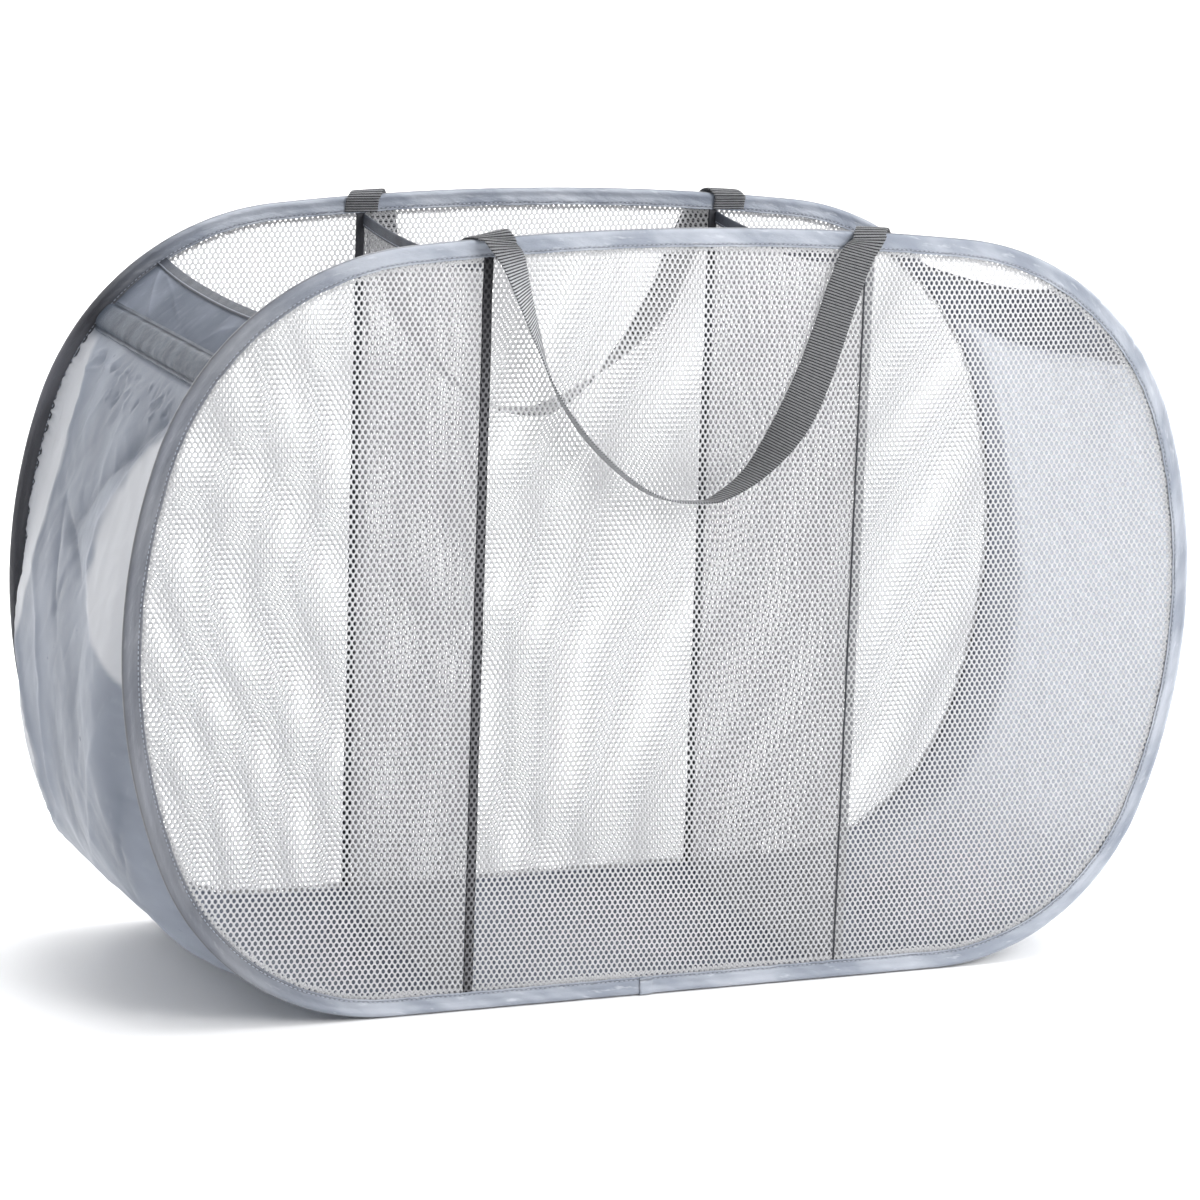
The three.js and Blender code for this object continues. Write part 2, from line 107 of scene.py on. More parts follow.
# How far the left and the right crest of each handle lie from the middle, and how deep its loop hangs
HANDLE_CRESTS = {"front": (0.1525, 0.131), "back": (0.136, 0.146)}
HANDLE_DROP = {"front": 0.178, "back": 0.161}

# The hanging handle from its crests to the bottom of its loop: how far it has dropped, as a share, and how
# far each side lies from the middle, as a share of half its span
HANDLE_DROPS = (0.005, 0.07, 0.20, 0.37, 0.55, 0.73, 0.89, 0.98, 1)
LEFT_HANG = (1.024, 0.972, 0.916, 0.839, 0.748, 0.592, 0.379, 0.181, -0.031)
RIGHT_HANG = (0.880, 0.820, 0.759, 0.694, 0.610, 0.475, 0.300, 0.130, 0.031)

# How far each side of the hanging handle has turned its outer face up, in degrees, at those drops
LEFT_TURN = (12, 30, 47, 61, 76, 85, 89, 94, 97)
RIGHT_TURN = (2, 3, 4, 6, 16, 46, 80, 94, 97)

# How far each mouth's edge hangs below its level: at its front end, in the middle and at its back end
MOUTH_SAG = {1: (-0.020, 0.0085, -0.009), -1: (0.004, 0.0025, -0.010)}

# Folds of an end of the strip. Each is its line, from the mouth along the cloth and from the middle towards
# the back, then its height and its breadth, all in metres.
FOLDS = (
    (((0.078, -0.114), (0.106, -0.085), (0.135, -0.050), (0.162, -0.017), (0.214, 0.031)), -0.0042, 0.011),
    (((0.088, -0.125), (0.122, -0.085), (0.152, -0.058), (0.187, -0.038), (0.216, -0.034),
      (0.263, -0.078)), 0.0024, 0.006),
    (((0.072, 0.126), (0.094, 0.104), (0.120, 0.088), (0.179, 0.081), (0.246, 0.085)), 0.0024, 0.005),
    (((0.189, 0.054), (0.210, 0.012), (0.234, -0.032)), -0.0032, 0.007),
    (((0.189, 0.054), (0.216, 0.044), (0.249, 0.026), (0.280, 0.001)), -0.0027, 0.008),
    (((0.255, 0.132), (0.299, 0.094), (0.336, 0.072), (0.367, 0.057), (0.418, 0.068),
      (0.462, 0.118)), 0.0042, 0.004),
    (((0.235, 0.094), (0.275, 0.050), (0.315, 0.030), (0.360, 0.028), (0.402, 0.039),
      (0.458, 0.100)), 0.0030, 0.005),
    (((0.290, -0.116), (0.349, -0.078), (0.404, -0.042), (0.480, 0.060)), 0.0024, 0.009),
    (((0.330, -0.125), (0.400, -0.100), (0.470, -0.060)), -0.0020, 0.009),
    (((0.003, 0.134), (0.021, 0.100), (0.044, 0.055)), 0.0016, 0.0022),
    (((0.003, 0.134), (0.015, 0.067), (0.036, -0.010)), 0.0011, 0.0024),
    (((0.006, 0.080), (0.026, 0.040), (0.044, -0.050)), -0.0009, 0.006),
    (((0.008, -0.125), (0.024, -0.080), (0.044, -0.060)), 0.0009, 0.004),
)

# Where an end's cloth is painted paler and lets more light through, as painted light: beyond the first line
# towards the back, and short of the second line towards the front. Each line is its distances from the mouth
# and from the middle.
BACK_BAND = (
    (0.070, 0.094, 0.120, 0.179, 0.246, 0.299, 0.336, 0.367, 0.418, 0.456, 0.480),
    (0.122, 0.104, 0.088, 0.081, 0.085, 0.094, 0.072, 0.057, 0.068, 0.111, 0.145),
)
FRONT_PATCH = (
    (0.086, 0.122, 0.152, 0.187, 0.216, 0.242, 0.263, 0.290),
    (-0.145, -0.085, -0.058, -0.038, -0.036, -0.048, -0.080, -0.150),
)


# The camera of the photograph, fitted to the outlines of both faces: its lens in millimetres, its place in
# metres, and the ways of its right, its up and its back
CAMERA_SENSOR = 36.0
CAMERA_LENS = 121.9
CAMERA_PLACE = (-1.1424, -2.6293, 0.8101)
CAMERA_TURN = ((0.9196, -0.3915, 0.0339), (0.0443, 0.1890, 0.9810), (-0.3904, -0.9006, 0.1911))


def make_camera():
    data = bpy.data.cameras.new("camera")
    data.sensor_width, data.lens = CAMERA_SENSOR, CAMERA_LENS
    data.clip_start, data.clip_end = 0.1, 30.0
    camera = bpy.data.objects.new("camera", data)
    bpy.context.scene.collection.objects.link(camera)
    camera.matrix_world = Matrix.Translation(CAMERA_PLACE) @ Matrix(CAMERA_TURN).transposed().to_4x4()
    bpy.context.scene.camera = camera


# Sums on shader sockets

class Wire:
    """A socket of a material's node tree, on which sums make nodes."""

    def __init__(self, tree, socket):
        self.tree, self.socket = tree, socket

    def math(self, operation, *others):
        return make_node(self.tree, "ShaderNodeMath", {"operation": operation}, [self, *others])

    def reflected(self, operation, other):
        return make_node(self.tree, "ShaderNodeMath", {"operation": operation}, [other, self])

    def __add__(self, other):
        return self.math("ADD", other)

    def __sub__(self, other):
        return self.math("SUBTRACT", other)

    def __rsub__(self, other):
        return self.reflected("SUBTRACT", other)

    def __mul__(self, other):
        return self.math("MULTIPLY", other)

    def __truediv__(self, other):
        return self.math("DIVIDE", other)

    def __rtruediv__(self, other):
        return self.reflected("DIVIDE", other)

    def __pow__(self, other):
        return self.math("POWER", other)

    def __rpow__(self, other):
        return self.reflected("POWER", other)

    __radd__, __rmul__ = __add__, __mul__

    def floor(self):
        return self.math("FLOOR")

    def fraction(self):
        return self.math("FRACT")

    def absolute(self):
        return self.math("ABSOLUTE")

    def sine(self):
        return self.math("SINE")

    def least(self, other):
        return self.math("MINIMUM", other)

    def most(self, other):
        return self.math("MAXIMUM", other)

    def ramp(self, low, high):
        """0 below low, 1 above high and smooth between."""
        settings = {"interpolation_type": "SMOOTHSTEP"}
        return make_node(self.tree, "ShaderNodeMapRange", settings, [self, low, high, 0.0, 1.0])


def make_node(tree, kind, settings=None, values=(), output=0):
    """A node of a kind, with its settings first and then its sockets' values or links, by place or name."""
    node = tree.nodes.new(kind)
    for name, value in (settings or {}).items():
        setattr(node, name, value)
    pairs = values.items() if isinstance(values, dict) else enumerate(values)
    for key, value in pairs:
        if isinstance(value, Wire):
            tree.links.new(value.socket, node.inputs[key])
        else:
            node.inputs[key].default_value = value
    return Wire(tree, node.outputs[output])


def mix(share, first, second):
    """One colour turned into another by a share."""
    colours = [(*c, 1.0) if isinstance(c, tuple) else c for c in (first, second)]
    values = {0: share, 6: colours[0], 7: colours[1]}
    return make_node(share.tree, "ShaderNodeMix", {"data_type": "RGBA"}, values, 2)


class Cloth:
    """A material laid on a piece by its map, which is in metres."""

    def __init__(self, name, **constants):
        self.material = bpy.data.materials.new(name)
        self.material.use_nodes = True
        self.tree = self.material.node_tree
        self.shader = self.tree.nodes["Principled BSDF"]
        for key, value in constants.items():
            self.shader.inputs[key.replace("_", " ")].default_value = value
        self.map = make_node(self.tree, "ShaderNodeUVMap", {"uv_map": "cloth"})
        self.u = make_node(self.tree, "ShaderNodeSeparateXYZ", None, [self.map])
        self.v = Wire(self.tree, self.u.socket.node.outputs[1])

    def feed(self, **wires):
        for key, wire in wires.items():
            self.tree.links.new(wire.socket, self.shader.inputs[key.replace("_", " ")])

    def spots(self, scale, detail=2.0, stretch=(1.0, 1.0), slant=0.0):
        """Soft random spots from 0 to 1, so many to the metre, stretched along the map and slanted."""
        along = (self.u + self.v * slant) / stretch[0]
        vector = make_node(self.tree, "ShaderNodeCombineXYZ", None, [along, self.v / stretch[1]])
        values = {"Vector": vector, "Scale": scale, "Detail": detail}
        return make_node(self.tree, "ShaderNodeTexNoise", {"noise_dimensions": "2D"}, values)

    def given(self, name):
        """A number that the piece's mesh holds at each of its places."""
        return make_node(self.tree, "ShaderNodeAttribute", {"attribute_name": name}, output=2)

    def weave(self, pitch):
        """Height of a plain weave from 0 to 1: threads that pass over and under each other."""
        across, along = self.v / pitch, self.u / pitch
        parity = ((across.floor() + along.floor()) * 0.5).fraction() * 2.0
        warp = (across * math.pi).sine().absolute()
        weft = (along * math.pi).sine().absolute()
        return warp * parity + weft * (1.0 - parity)

    def lets_light_through(self, share, colour):
        """Mixes in light that comes through the cloth from behind."""
        glow = make_node(self.tree, "ShaderNodeBsdfTranslucent", None, {"Color": (*colour, 1.0)})
        front = Wire(self.tree, self.shader.outputs[0])
        both = make_node(self.tree, "ShaderNodeMixShader", None, [share, front, glow])
        self.tree.links.new(both.socket, self.tree.nodes["Material Output"].inputs["Surface"])

    def bumps(self, *heights):
        """The normal of several heights, each with its depth in metres."""
        normal = None
        for height, depth in heights:
            values = {"Height": height, "Distance": depth, "Strength": 1.0}
            if normal:
                values["Normal"] = normal
            normal = make_node(self.tree, "ShaderNodeBump", None, values)
        self.feed(Normal=normal)


def make_plain_cloth(name, colour, pitch, depth, crinkle, roughness, shine):
    """A plain woven cloth, a little uneven in colour and roughness, with fine crinkles."""
    cloth = Cloth(name, Roughness=roughness, Specular_IOR_Level=shine)
    dark, light = (tuple(share * c for c in colour) for share in (0.82, 1.1))
    cloth.feed(Base_Color=mix(cloth.spots(60.0, 4.0).ramp(0.3, 0.7), dark, light))
    cloth.feed(Roughness=cloth.spots(90.0, 3.0) * 0.16 + (roughness - 0.08))
    cloth.bumps((cloth.spots(110.0, 5.0), crinkle), (cloth.weave(pitch), depth))
    return cloth.material


def make_satin():
    """The binding's satin tape, with slanting puckers, pale streaks painted as sheen, painted shade in its
    stitch furrow and along its outer rim, and painted shade on its sides.
    """
    cloth = Cloth("binding", Roughness=0.34, Sheen_Weight=0.25)
    pale = cloth.spots(26.0, 3.0, (1.6, 1.0), 1.2).ramp(0.35, 0.68)
    colour = mix(pale, (0.255, 0.285, 0.345), (0.43, 0.46, 0.52))
    # Painted highlights: pale slanting streaks stand in for the satin's sheen on its puckers
    painted_highlight_streaks = cloth.spots(210.0, 3.0, (3.0, 1.0), 1.6)
    colour = mix(painted_highlight_streaks.ramp(0.62, 0.78) * 0.5, colour, (0.62, 0.65, 0.70))
    # Painted shade in the stitch furrow and along the bead's outer rim
    colour = mix(cloth.given("furrow_with_painted_shade") * 0.75, colour, (0.07, 0.075, 0.09))
    # Painted shade on the binding's sides, flecked with painted glints
    shine = cloth.spots(30.0, 3.0, (4.0, 1.0)).ramp(0.5, 0.75)
    shaded = mix(shine, (0.052, 0.053, 0.062), (0.105, 0.108, 0.125))
    cloth.feed(Base_Color=mix(cloth.given("shade"), colour, shaded), Roughness=painted_highlight_streaks * 0.2 + 0.24)
    cloth.bumps((cloth.spots(150.0, 3.0, (2.0, 1.0), 1.4), 0.0010), (cloth.weave(0.0006), 0.00004))
    return cloth.material


def make_taffeta():
    """Thin crinkled taffeta, which lets through some of the light behind it: most where it lies single, and
    none where its thinness is -1. Its colour holds painted shade in the folds' valleys, painted highlights
    on their ridges, and painted light where it is paler and lets more light through."""
    cloth = Cloth("taffeta", Roughness=0.32, Specular_IOR_Level=0.18)
    thinness_and_painted_light = cloth.given("thinness_and_painted_light")
    # Painted shading: darker in the folds' valleys and paler on their ridges, with a little random tone
    painted_shading_and_tone = cloth.given("painted_shading_and_tone") * 0.7 + cloth.spots(13.0, 2.0, (1.8, 1.0)).ramp(0.3, 0.7) * 0.3
    colour = mix(painted_shading_and_tone.ramp(0.05, 0.95), (0.098, 0.115, 0.150), (0.260, 0.285, 0.340))
    # Painted light: paler where light is painted as shining through the cloth
    colour = mix(thinness_and_painted_light.most(0.0) * 0.9, colour, (0.72, 0.715, 0.72))
    crushed = cloth.spots(90.0, 2.0, (1.2, 1.0), 0.5)
    cloth.feed(Base_Color=mix(crushed.ramp(0.62, 0.80) * 0.06, colour, (0.62, 0.64, 0.68)))
    cloth.feed(Roughness=cloth.spots(90.0, 3.0) * 0.16 + (0.24 - thinness_and_painted_light.least(0.0) * 0.35))
    ridges = 1.0 - (cloth.spots(30.0, 1.0, (1.4, 1.0), 0.8) - 0.5).absolute() * 4.0
    cloth.bumps((ridges, 0.0004), (crushed, 0.0001), (cloth.weave(0.0005), 0.00002))
    cloth.lets_light_through(thinness_and_painted_light * 0.22 + 0.22, (0.50, 0.54, 0.61))
    return cloth.material


def make_sleeve_cloth():
    """The pocket's doubled taffeta, with painted shade in the slits that its upper seam pulls and painted
    highlights along its edges and round end.
    """
    cloth = Cloth("sleeve", Roughness=0.5, Specular_IOR_Level=0.08)
    clouds = cloth.spots(60.0, 3.0, (1.0, 2.0)).ramp(0.3, 0.7)
    colour = mix(clouds, (0.056, 0.068, 0.090), (0.090, 0.105, 0.132))
    colour = mix(cloth.given("painted_ridge_highlight") * 0.4, colour, (0.24, 0.265, 0.31))
    cloth.feed(Base_Color=mix(cloth.given("furrow_with_painted_shade") * 0.8, colour, (0.03, 0.033, 0.04)))
    cloth.feed(Roughness=cloth.spots(90.0, 3.0) * 0.16 + 0.28)
    cloth.bumps((cloth.spots(70.0, 2.0, (1.0, 1.6)), 0.0004), (cloth.weave(0.0006), 0.00003))
    return cloth.material


def from_holes(u, v, hole):
    """Distance from the nearest hole of a net, as a share of the hole's size. Its rows of upright oval holes
    are each set over by half a hole."""
    nearest = None
    for shift in (0.0, 0.5):
        across = ((u / NET_PITCH + shift).fraction() - 0.5) * (NET_PITCH / hole[0])
        upright = ((v / (2 * NET_ROW) + shift).fraction() - 0.5) * (2 * NET_ROW / hole[1])
        away = (across * across + upright * upright) ** 0.5
        nearest = nearest.least(away) if nearest else away
    return nearest


def make_pressed_tape():
    """Dark tape sewn hard onto the net, whose holes show in it, painted near black as shade. It is darkest
    at its upper end.
    """
    cloth = Cloth("pressed_tape", Roughness=0.6, Specular_IOR_Level=0.2)
    # Painted shade: the holes are painted near black
    away = from_holes(cloth.v, cloth.u, NET_HOLE).ramp(0.7, 1.3)
    tone_shift = mix(cloth.u.ramp(0.38, 0.48), (0.17, 0.17, 0.18), (0.062, 0.062, 0.068))
    cloth.feed(Base_Color=mix(away, (0.010, 0.010, 0.013), tone_shift))
    cloth.bumps((away, 0.0004), (cloth.weave(0.0006), 0.00004))
    return cloth.material


def make_net(name, hole, painted_rim_shade, thread, glow, share):
    """Knitted net, whose threads are thin enough to let a share of the light through. The threads are
    painted darker at the holes' rims as shade.
    """
    cloth = Cloth(name, Roughness=0.6, Sheen_Weight=0.2)
    nearest = from_holes(cloth.u, cloth.v, hole)
    solid = nearest.ramp(0.9, 1.06)
    cloth.feed(Alpha=solid, Base_Color=mix(nearest.ramp(0.95, 1.5), painted_rim_shade, thread))
    cloth.bumps((nearest.ramp(0.9, 1.7), 0.0004), (cloth.weave(0.0004), 0.00004))
    cloth.lets_light_through(solid * share, glow)
    return cloth.material


def make_webbing():
    """Flat webbing of thick shiny yarns, with a rib across it at every second pick. Its yarns are painted
    paler as sheen where the strap has turned its face up, and the dips between its ribs are painted near
    black as shade."""
    cloth = Cloth("webbing", Roughness=0.5, Specular_IOR_Level=0.2, Sheen_Weight=0.05)
    ribs = (cloth.u / 0.0020 * math.pi).sine().absolute()
    yarns = ribs * 0.65 + cloth.weave(0.0010) * 0.35
    tone_shift = cloth.spots(500.0, 3.0, (1.0, 2.0)) * 0.3 + 0.85
    # Painted sheen on the yarns where the strap has turned up, and painted shade in the dips between ribs
    yarn_with_painted_sheen = mix(cloth.given("painted_sheen"), (0.24, 0.245, 0.255), (0.52, 0.53, 0.55))
    cloth.feed(Base_Color=mix((yarns * tone_shift).ramp(0.55, 0.80), (0.005, 0.005, 0.007), yarn_with_painted_sheen))
    cloth.bumps((ribs, 0.0005), (cloth.weave(0.0010), 0.0002), (cloth.spots(60.0), 0.0001))
    return cloth.material


def make_steel():
    """Drawn spring wire with fine marks along it."""
    cloth = Cloth("spring_steel", Metallic=1.0, Roughness=0.3)
    marks = make_node(cloth.tree, "ShaderNodeTexNoise", None, {"Scale": 900.0, "Detail": 4.0})
    cloth.feed(Base_Color=mix(marks, (0.60, 0.61, 0.63), (0.78, 0.79, 0.81)), Roughness=marks * 0.3 + 0.2)
    cloth.bumps((marks, 0.00002))
    return cloth.material


def make_plastic():
    """Flat flexible plastic with a dull, slightly grainy face."""
    cloth = Cloth("stiffener_plastic", Roughness=0.5)
    grain = cloth.spots(1200.0, 3.0)
    cloth.feed(Base_Color=mix(grain, (0.78, 0.78, 0.76), (0.88, 0.88, 0.86)), Roughness=grain * 0.2 + 0.4)
    cloth.bumps((grain, 0.00003))
    return cloth.material


def make_materials():
    materials = {
        "binding": make_satin(),
        "sleeve": make_sleeve_cloth(),
        "pressed_tape": make_pressed_tape(),
        "taffeta": make_taffeta(),
        "webbing": make_webbing(),
        "wire": make_steel(),
        "stiffener": make_plastic(),
    }
    # Colour, spacing of the threads, depths of the weave and of the crinkles, roughness and shine
    for name, *rest in (
            ("hem", (0.078, 0.086, 0.106), 0.0006, 0.00005, 0.0003, 0.50, 0.2),
            # The tape and the lit tape are shaded and lit copies of one tape, as painted shade and light
            ("tape", (0.052, 0.054, 0.062), 0.0006, 0.00005, 0.0004, 0.50, 0.2),
            ("pale_tape", (0.20, 0.205, 0.22), 0.0006, 0.00005, 0.0004, 0.55, 0.2),
            ("sleeve_thread", (0.10, 0.115, 0.145), 0.0003, 0.00004, 0.0001, 0.60, 0.5),
            ("thread", (0.36, 0.39, 0.46), 0.0003, 0.00004, 0.0001, 0.50, 0.5)):
        materials[name] = make_plain_cloth(name, *rest)
    # Hole, colours at its rim, painted darker as shade, and along the threads, and the colour and share of
    # the light let through. The back and partition nets are darker copies of the front net, as painted
    # shade.
    for name, *rest in (
            ("front_net", NET_HOLE, (0.56, 0.565, 0.58), (0.76, 0.76, 0.77), (0.72, 0.72, 0.735), 0.4),
            ("back_net", NET_HOLE, (0.40, 0.405, 0.42), (0.57, 0.57, 0.58), (0.46, 0.46, 0.475), 0.5),
            ("partition_net", DIVIDER_HOLE, (0.21, 0.215, 0.225), (0.34, 0.34, 0.35),
             (0.34, 0.34, 0.35), 0.3)):
        materials[name] = make_net(name, *rest)
    return materials


# Shapes

def ease(value, low, high):
    share = np.clip((value - low) / (high - low), 0.0, 1.0)
    return share * share * (3 - 2 * share)


def lerp(a, b, share):
    return a + (b - a) * share


def stacked(x, y, z):
    """Places from their coordinates."""
    return np.stack(np.broadcast_arrays(x, y, z), -1)


def rough(*sizes):
    """Smooth noise from -1 to 1 over the places given by their coordinates, each already divided by the
    size of a lump along it."""
    grids = np.broadcast_arrays(*sizes)
    flat = [noise.noise(place) for place in zip(*(g.ravel().tolist() for g in grids))]
    return np.array(flat).reshape(grids[0].shape)


class Loop:
    """The outer edge of a binding in the plane of its face. Share 0 is the middle of the crown, and the
    share grows clockwise, seen from the front, to 0.5 in the middle of the floor."""

    def __init__(self):
        half, heading = [(0.0, 0.0)], 0.0
        for radius, turn in LOOP_ARCS:
            count = math.ceil(4 * turn)
            step = math.radians(turn) / count
            chord = 2 * radius * math.sin(step / 2)
            for _ in range(count):
                slope = heading - step / 2
                x, z = half[-1]
                half.append((x + chord * math.cos(slope), z + chord * math.sin(slope)))
                heading -= step
        half = np.array(half)
        x = half[:, 0] / half[:, 0].max() * FRAME_WIDTH / 2
        z = (1 - half[:, 1] / half[:, 1].min()) * FRAME_HEIGHT
        floor = np.linspace(x[-1], 0, 200)[1:]
        x, z = np.append(x, floor), np.append(z, 0 * floor)
        self.x, self.z = np.append(x, -x[-2::-1]), np.append(z, z[-2::-1])
        self.along = np.append(0, np.cumsum(np.hypot(np.diff(self.x), np.diff(self.z))))
        self.length = self.along[-1]
        way = np.stack([np.gradient(self.x, self.along), np.gradient(self.z, self.along)])
        self.way_x, self.way_z = way / np.hypot(*way)

    def at(self, share, inset=0.0, y=0.0):
        """A place on the loop, moved in from it by the inset."""
        along = np.mod(share, 1.0) * self.length
        curves = (self.x, self.z, self.way_x, self.way_z)
        x, z, way_x, way_z = (np.interp(along, self.along, c) for c in curves)
        return stacked(x + way_z * inset, y, np.maximum(z, 0) - way_x * inset)

    def share_at(self, x):
        """Share at which the right half of the crown is so far from the middle."""
        widest = self.x.argmax()
        return np.interp(x, self.x[:widest], self.along[:widest]) / self.length

    def crown(self, x):
        """Height of the crown so far from the middle."""
        return float(self.at(self.share_at(x))[2])


loop = Loop()
MOUTH = loop.share_at(MOUTH_HALF_WIDTH)
SEAM = 0.5 - SEAM_X / loop.length
STRIP_LENGTH = (1 - 2 * MOUTH) * loop.length


def make_piece(name, places, faces, maps, material, given=None):
    """A smooth mesh of places, faces and the map of each face's corners, in metres, with any numbers given
    at its places."""
    mesh = bpy.data.meshes.new(name)
    mesh.from_pydata(np.asarray(places, float).tolist(), [], [list(f) for f in faces])
    layer = mesh.uv_layers.new(name="cloth")
    layer.data.foreach_set("uv", np.asarray(maps, np.float32).ravel())
    for key, values in (given or {}).items():
        held = mesh.attributes.new(key, "FLOAT", "POINT")
        held.data.foreach_set("value", np.ascontiguousarray(values, np.float32).ravel())
    mesh.shade_smooth()
    mesh.materials.append(material)
    mesh.validate()
    piece = bpy.data.objects.new(name, mesh)
    bpy.context.scene.collection.objects.link(piece)
    return piece


def steps_along(grid, axis):
    """Distance covered along one axis of a grid of places, averaged over the other axis."""
    sizes = np.linalg.norm(np.diff(grid, axis=axis), axis=-1).mean(axis=1 - axis)
    return np.append(0, np.cumsum(sizes))


def make_grid(name, grid, material, closed=False, given=None):
    """A piece from a grid of places, mapped by its own length (u) and width (v). A closed grid's last
    column joins its first, and it has a face over each end."""
    rows, columns = grid.shape[:2]
    ring = np.concatenate([grid, grid[:, :1]], axis=1) if closed else grid
    u, v = steps_along(ring, 0), steps_along(ring, 1)
    i, j = (a.ravel() for a in np.mgrid[0:rows - 1, 0:ring.shape[1] - 1])
    corners = [(i, j), (i, j + 1), (i + 1, j + 1), (i + 1, j)]
    faces = np.stack([r * columns + c % columns for r, c in corners], -1).tolist()
    maps = np.stack([np.stack([u[r], v[c]], -1) for r, c in corners], 1).reshape(-1, 2).tolist()
    if closed:
        last = (rows - 1) * columns
        faces.append(list(range(columns))[::-1])
        faces.append(list(range(last, last + columns)))
        maps += [[0.0, v[c]] for c in range(columns)][::-1] + [[u[-1], v[c]] for c in range(columns)]
    return make_piece(name, grid.reshape(-1, 3), faces, maps, material, given)


def stitch_rows(name, rows, material, length=0.0024, gap=0.0011, width=0.0007, height=0.0003):
    """A piece with rows of stitches. Each row is its line of places and the way out of the cloth there."""
    bead = [(a, side, out) for a, size in ((-0.5, 0.3), (-0.3, 1), (0.3, 1), (0.5, 0.3))
            for side, out in ((-size, 0), (-0.6 * size, size), (0.6 * size, size), (size, 0))]
    bead = np.array(bead) * (length, width / 2, height)
    quads = [(4 * i + j, 4 * i + j + 1, 4 * i + j + 5, 4 * i + j + 4) for i in range(3) for j in range(3)]
    places = []
    for line, outs in rows:
        along = np.append(0, np.cumsum(np.linalg.norm(np.diff(line, axis=0), axis=1)))
        middles = np.arange(length, along[-1] - length / 2, length + gap)
        at, ahead, out = (
            np.stack([np.interp(m, along, a[:, k]) for k in range(3)], -1)
            for m, a in ((middles, line), (middles + length / 4, line), (middles, outs))
        )
        way = ahead - at
        way /= np.linalg.norm(way, axis=1, keepdims=True)
        side = np.cross(way, out)
        parts = (way, side, out)
        places.append(at[:, None] + sum(bead[None, :, k, None] * parts[k][:, None] for k in range(3)))
    places = np.concatenate(places)
    count = len(places)
    faces = (np.arange(count)[:, None, None] * len(bead) + np.array(quads)).reshape(-1, 4)
    maps = np.tile(bead[np.array(quads).ravel(), :2], (count, 1))
    return make_piece(name, places.reshape(-1, 3), faces.tolist(), maps, material)


# Bindings

def binding_section():
    """Inset and side of the folded tape's section: one leg, the bead round the wire, the other leg, and
    back along the inside."""
    neck = 2 * BEAD_RADIUS + 2 * BINDING_TAPE
    wrap = np.radians(np.linspace(-130, 130, 17))
    leg_steps = np.linspace(BINDING_WIDTH, neck, 13)
    outside = [(i, -LEG_OUTER) for i in leg_steps]
    outside += [(BEAD_RADIUS * (1 - math.cos(a)), BEAD_RADIUS * math.sin(a)) for a in wrap]
    outside += [(i, LEG_OUTER) for i in leg_steps[::-1]]
    inner, leg = BEAD_RADIUS - BINDING_TAPE, LEG_OUTER - BINDING_TAPE
    inside = [(i, leg) for i in np.linspace(BINDING_WIDTH, neck, 6)]
    inside += [(BEAD_RADIUS - inner * math.cos(a), inner * math.sin(a)) for a in wrap[::-1]]
    inside += [(i, -leg) for i in np.linspace(neck, BINDING_WIDTH, 6)]
    return np.array(outside + inside)


def make_binding(name, face_y, materials):
    """The tape folded round a face's wire, puckered by its seam. One end laps over the other. Its stitch
    furrow, its outer rim and its sides hold painted shade.
    """
    start = SEAM - LAP / loop.length
    share = np.linspace(start, SEAM + 1, 1100)[:, None]
    inset, side = binding_section().T[:, None]
    along = share * loop.length
    on_leg = ease(inset, 0.003, 0.009)
    slanting = along + np.sign(side) * inset * 0.9
    pucker = rough(slanting / 0.013, inset / 0.012, np.sign(side) * 3 + face_y * 50)
    ridges = 1 - 2 * np.abs(rough(slanting / 0.019, inset / 0.016, np.sign(side) * 5 + face_y * 60))
    fine = rough(along / 0.0035, inset / 0.006, np.sign(side) * 7 + face_y * 70)
    # Painted shade: the stitch furrow here and the bead's outer rim below are darkened in the colour
    furrow_with_painted_shade = np.exp(-((inset - BINDING_WIDTH + STITCH_INSET) / 0.0006) ** 2) * (np.abs(side) > 0.0011)
    bulge = on_leg * (0.0007 * np.abs(pucker) + 0.0005 * ridges + 0.00015 * fine)
    bulge = bulge + 0.0003 * (1 - on_leg) * pucker - furrow_with_painted_shade * (0.0004 + 0.0002 * fine)
    painted_rim_shade = 1 - ease(inset, 0.0002, 0.0010)
    end = (SEAM + 1) * loop.length
    over = ease(along, end - LAP, end - 0.7 * LAP)
    lift = over * (0.0009 + 0.0004 * rough(along / 0.003, inset / 0.005, 4.5))
    scallop = np.abs(np.sin(along / 0.0035 * math.pi)) + rough(along / 0.012, 8.5, face_y * 30)
    inset = inset - over * 0.0006 + on_leg * 0.0004 * scallop
    grid = loop.at(share, inset, face_y + side + np.sign(side) * (bulge + lift))
    grid[..., 2] = np.maximum(grid[..., 2], 0.0)
    # Painted shade: on the back binding's inner leg at its sides, and on the front binding towards its left
    if face_y > 0:
        shade = ease(-side, -0.0012, 0.0004) * ease(np.abs(grid[..., 0]), 0.24, 0.345)
    else:
        shade = 0.7 * ease(-grid[..., 0], 0.20, 0.35)
    given = {"furrow_with_painted_shade": np.broadcast_to(np.maximum(furrow_with_painted_shade, painted_rim_shade), shade.shape), "shade": shade}
    piece = make_grid(f"{name}_edge_tape", grid, materials["binding"], True, given)
    rows = []
    for way in (-1, 1):
        line = loop.at(share[:, 0], BINDING_WIDTH - STITCH_INSET, face_y + way * (LEG_OUTER + 0.0001))
        rows.append((line, np.tile((0.0, way, 0.0), (len(line), 1))))
    stitches = stitch_rows(f"{name}_edge_stitches", rows, materials["thread"])
    return piece, stitches


# The taffeta strip

def strip_rise(way):
    """How far the middle of the span lies out from the stitched edges."""
    hanging = ease(way, 0.2, 0.46) * (1 - ease(way, 0.48, 0.68))
    return STRIP_INSET * ease(way, 0.1, 0.5) + STRIP_FULLNESS * hanging


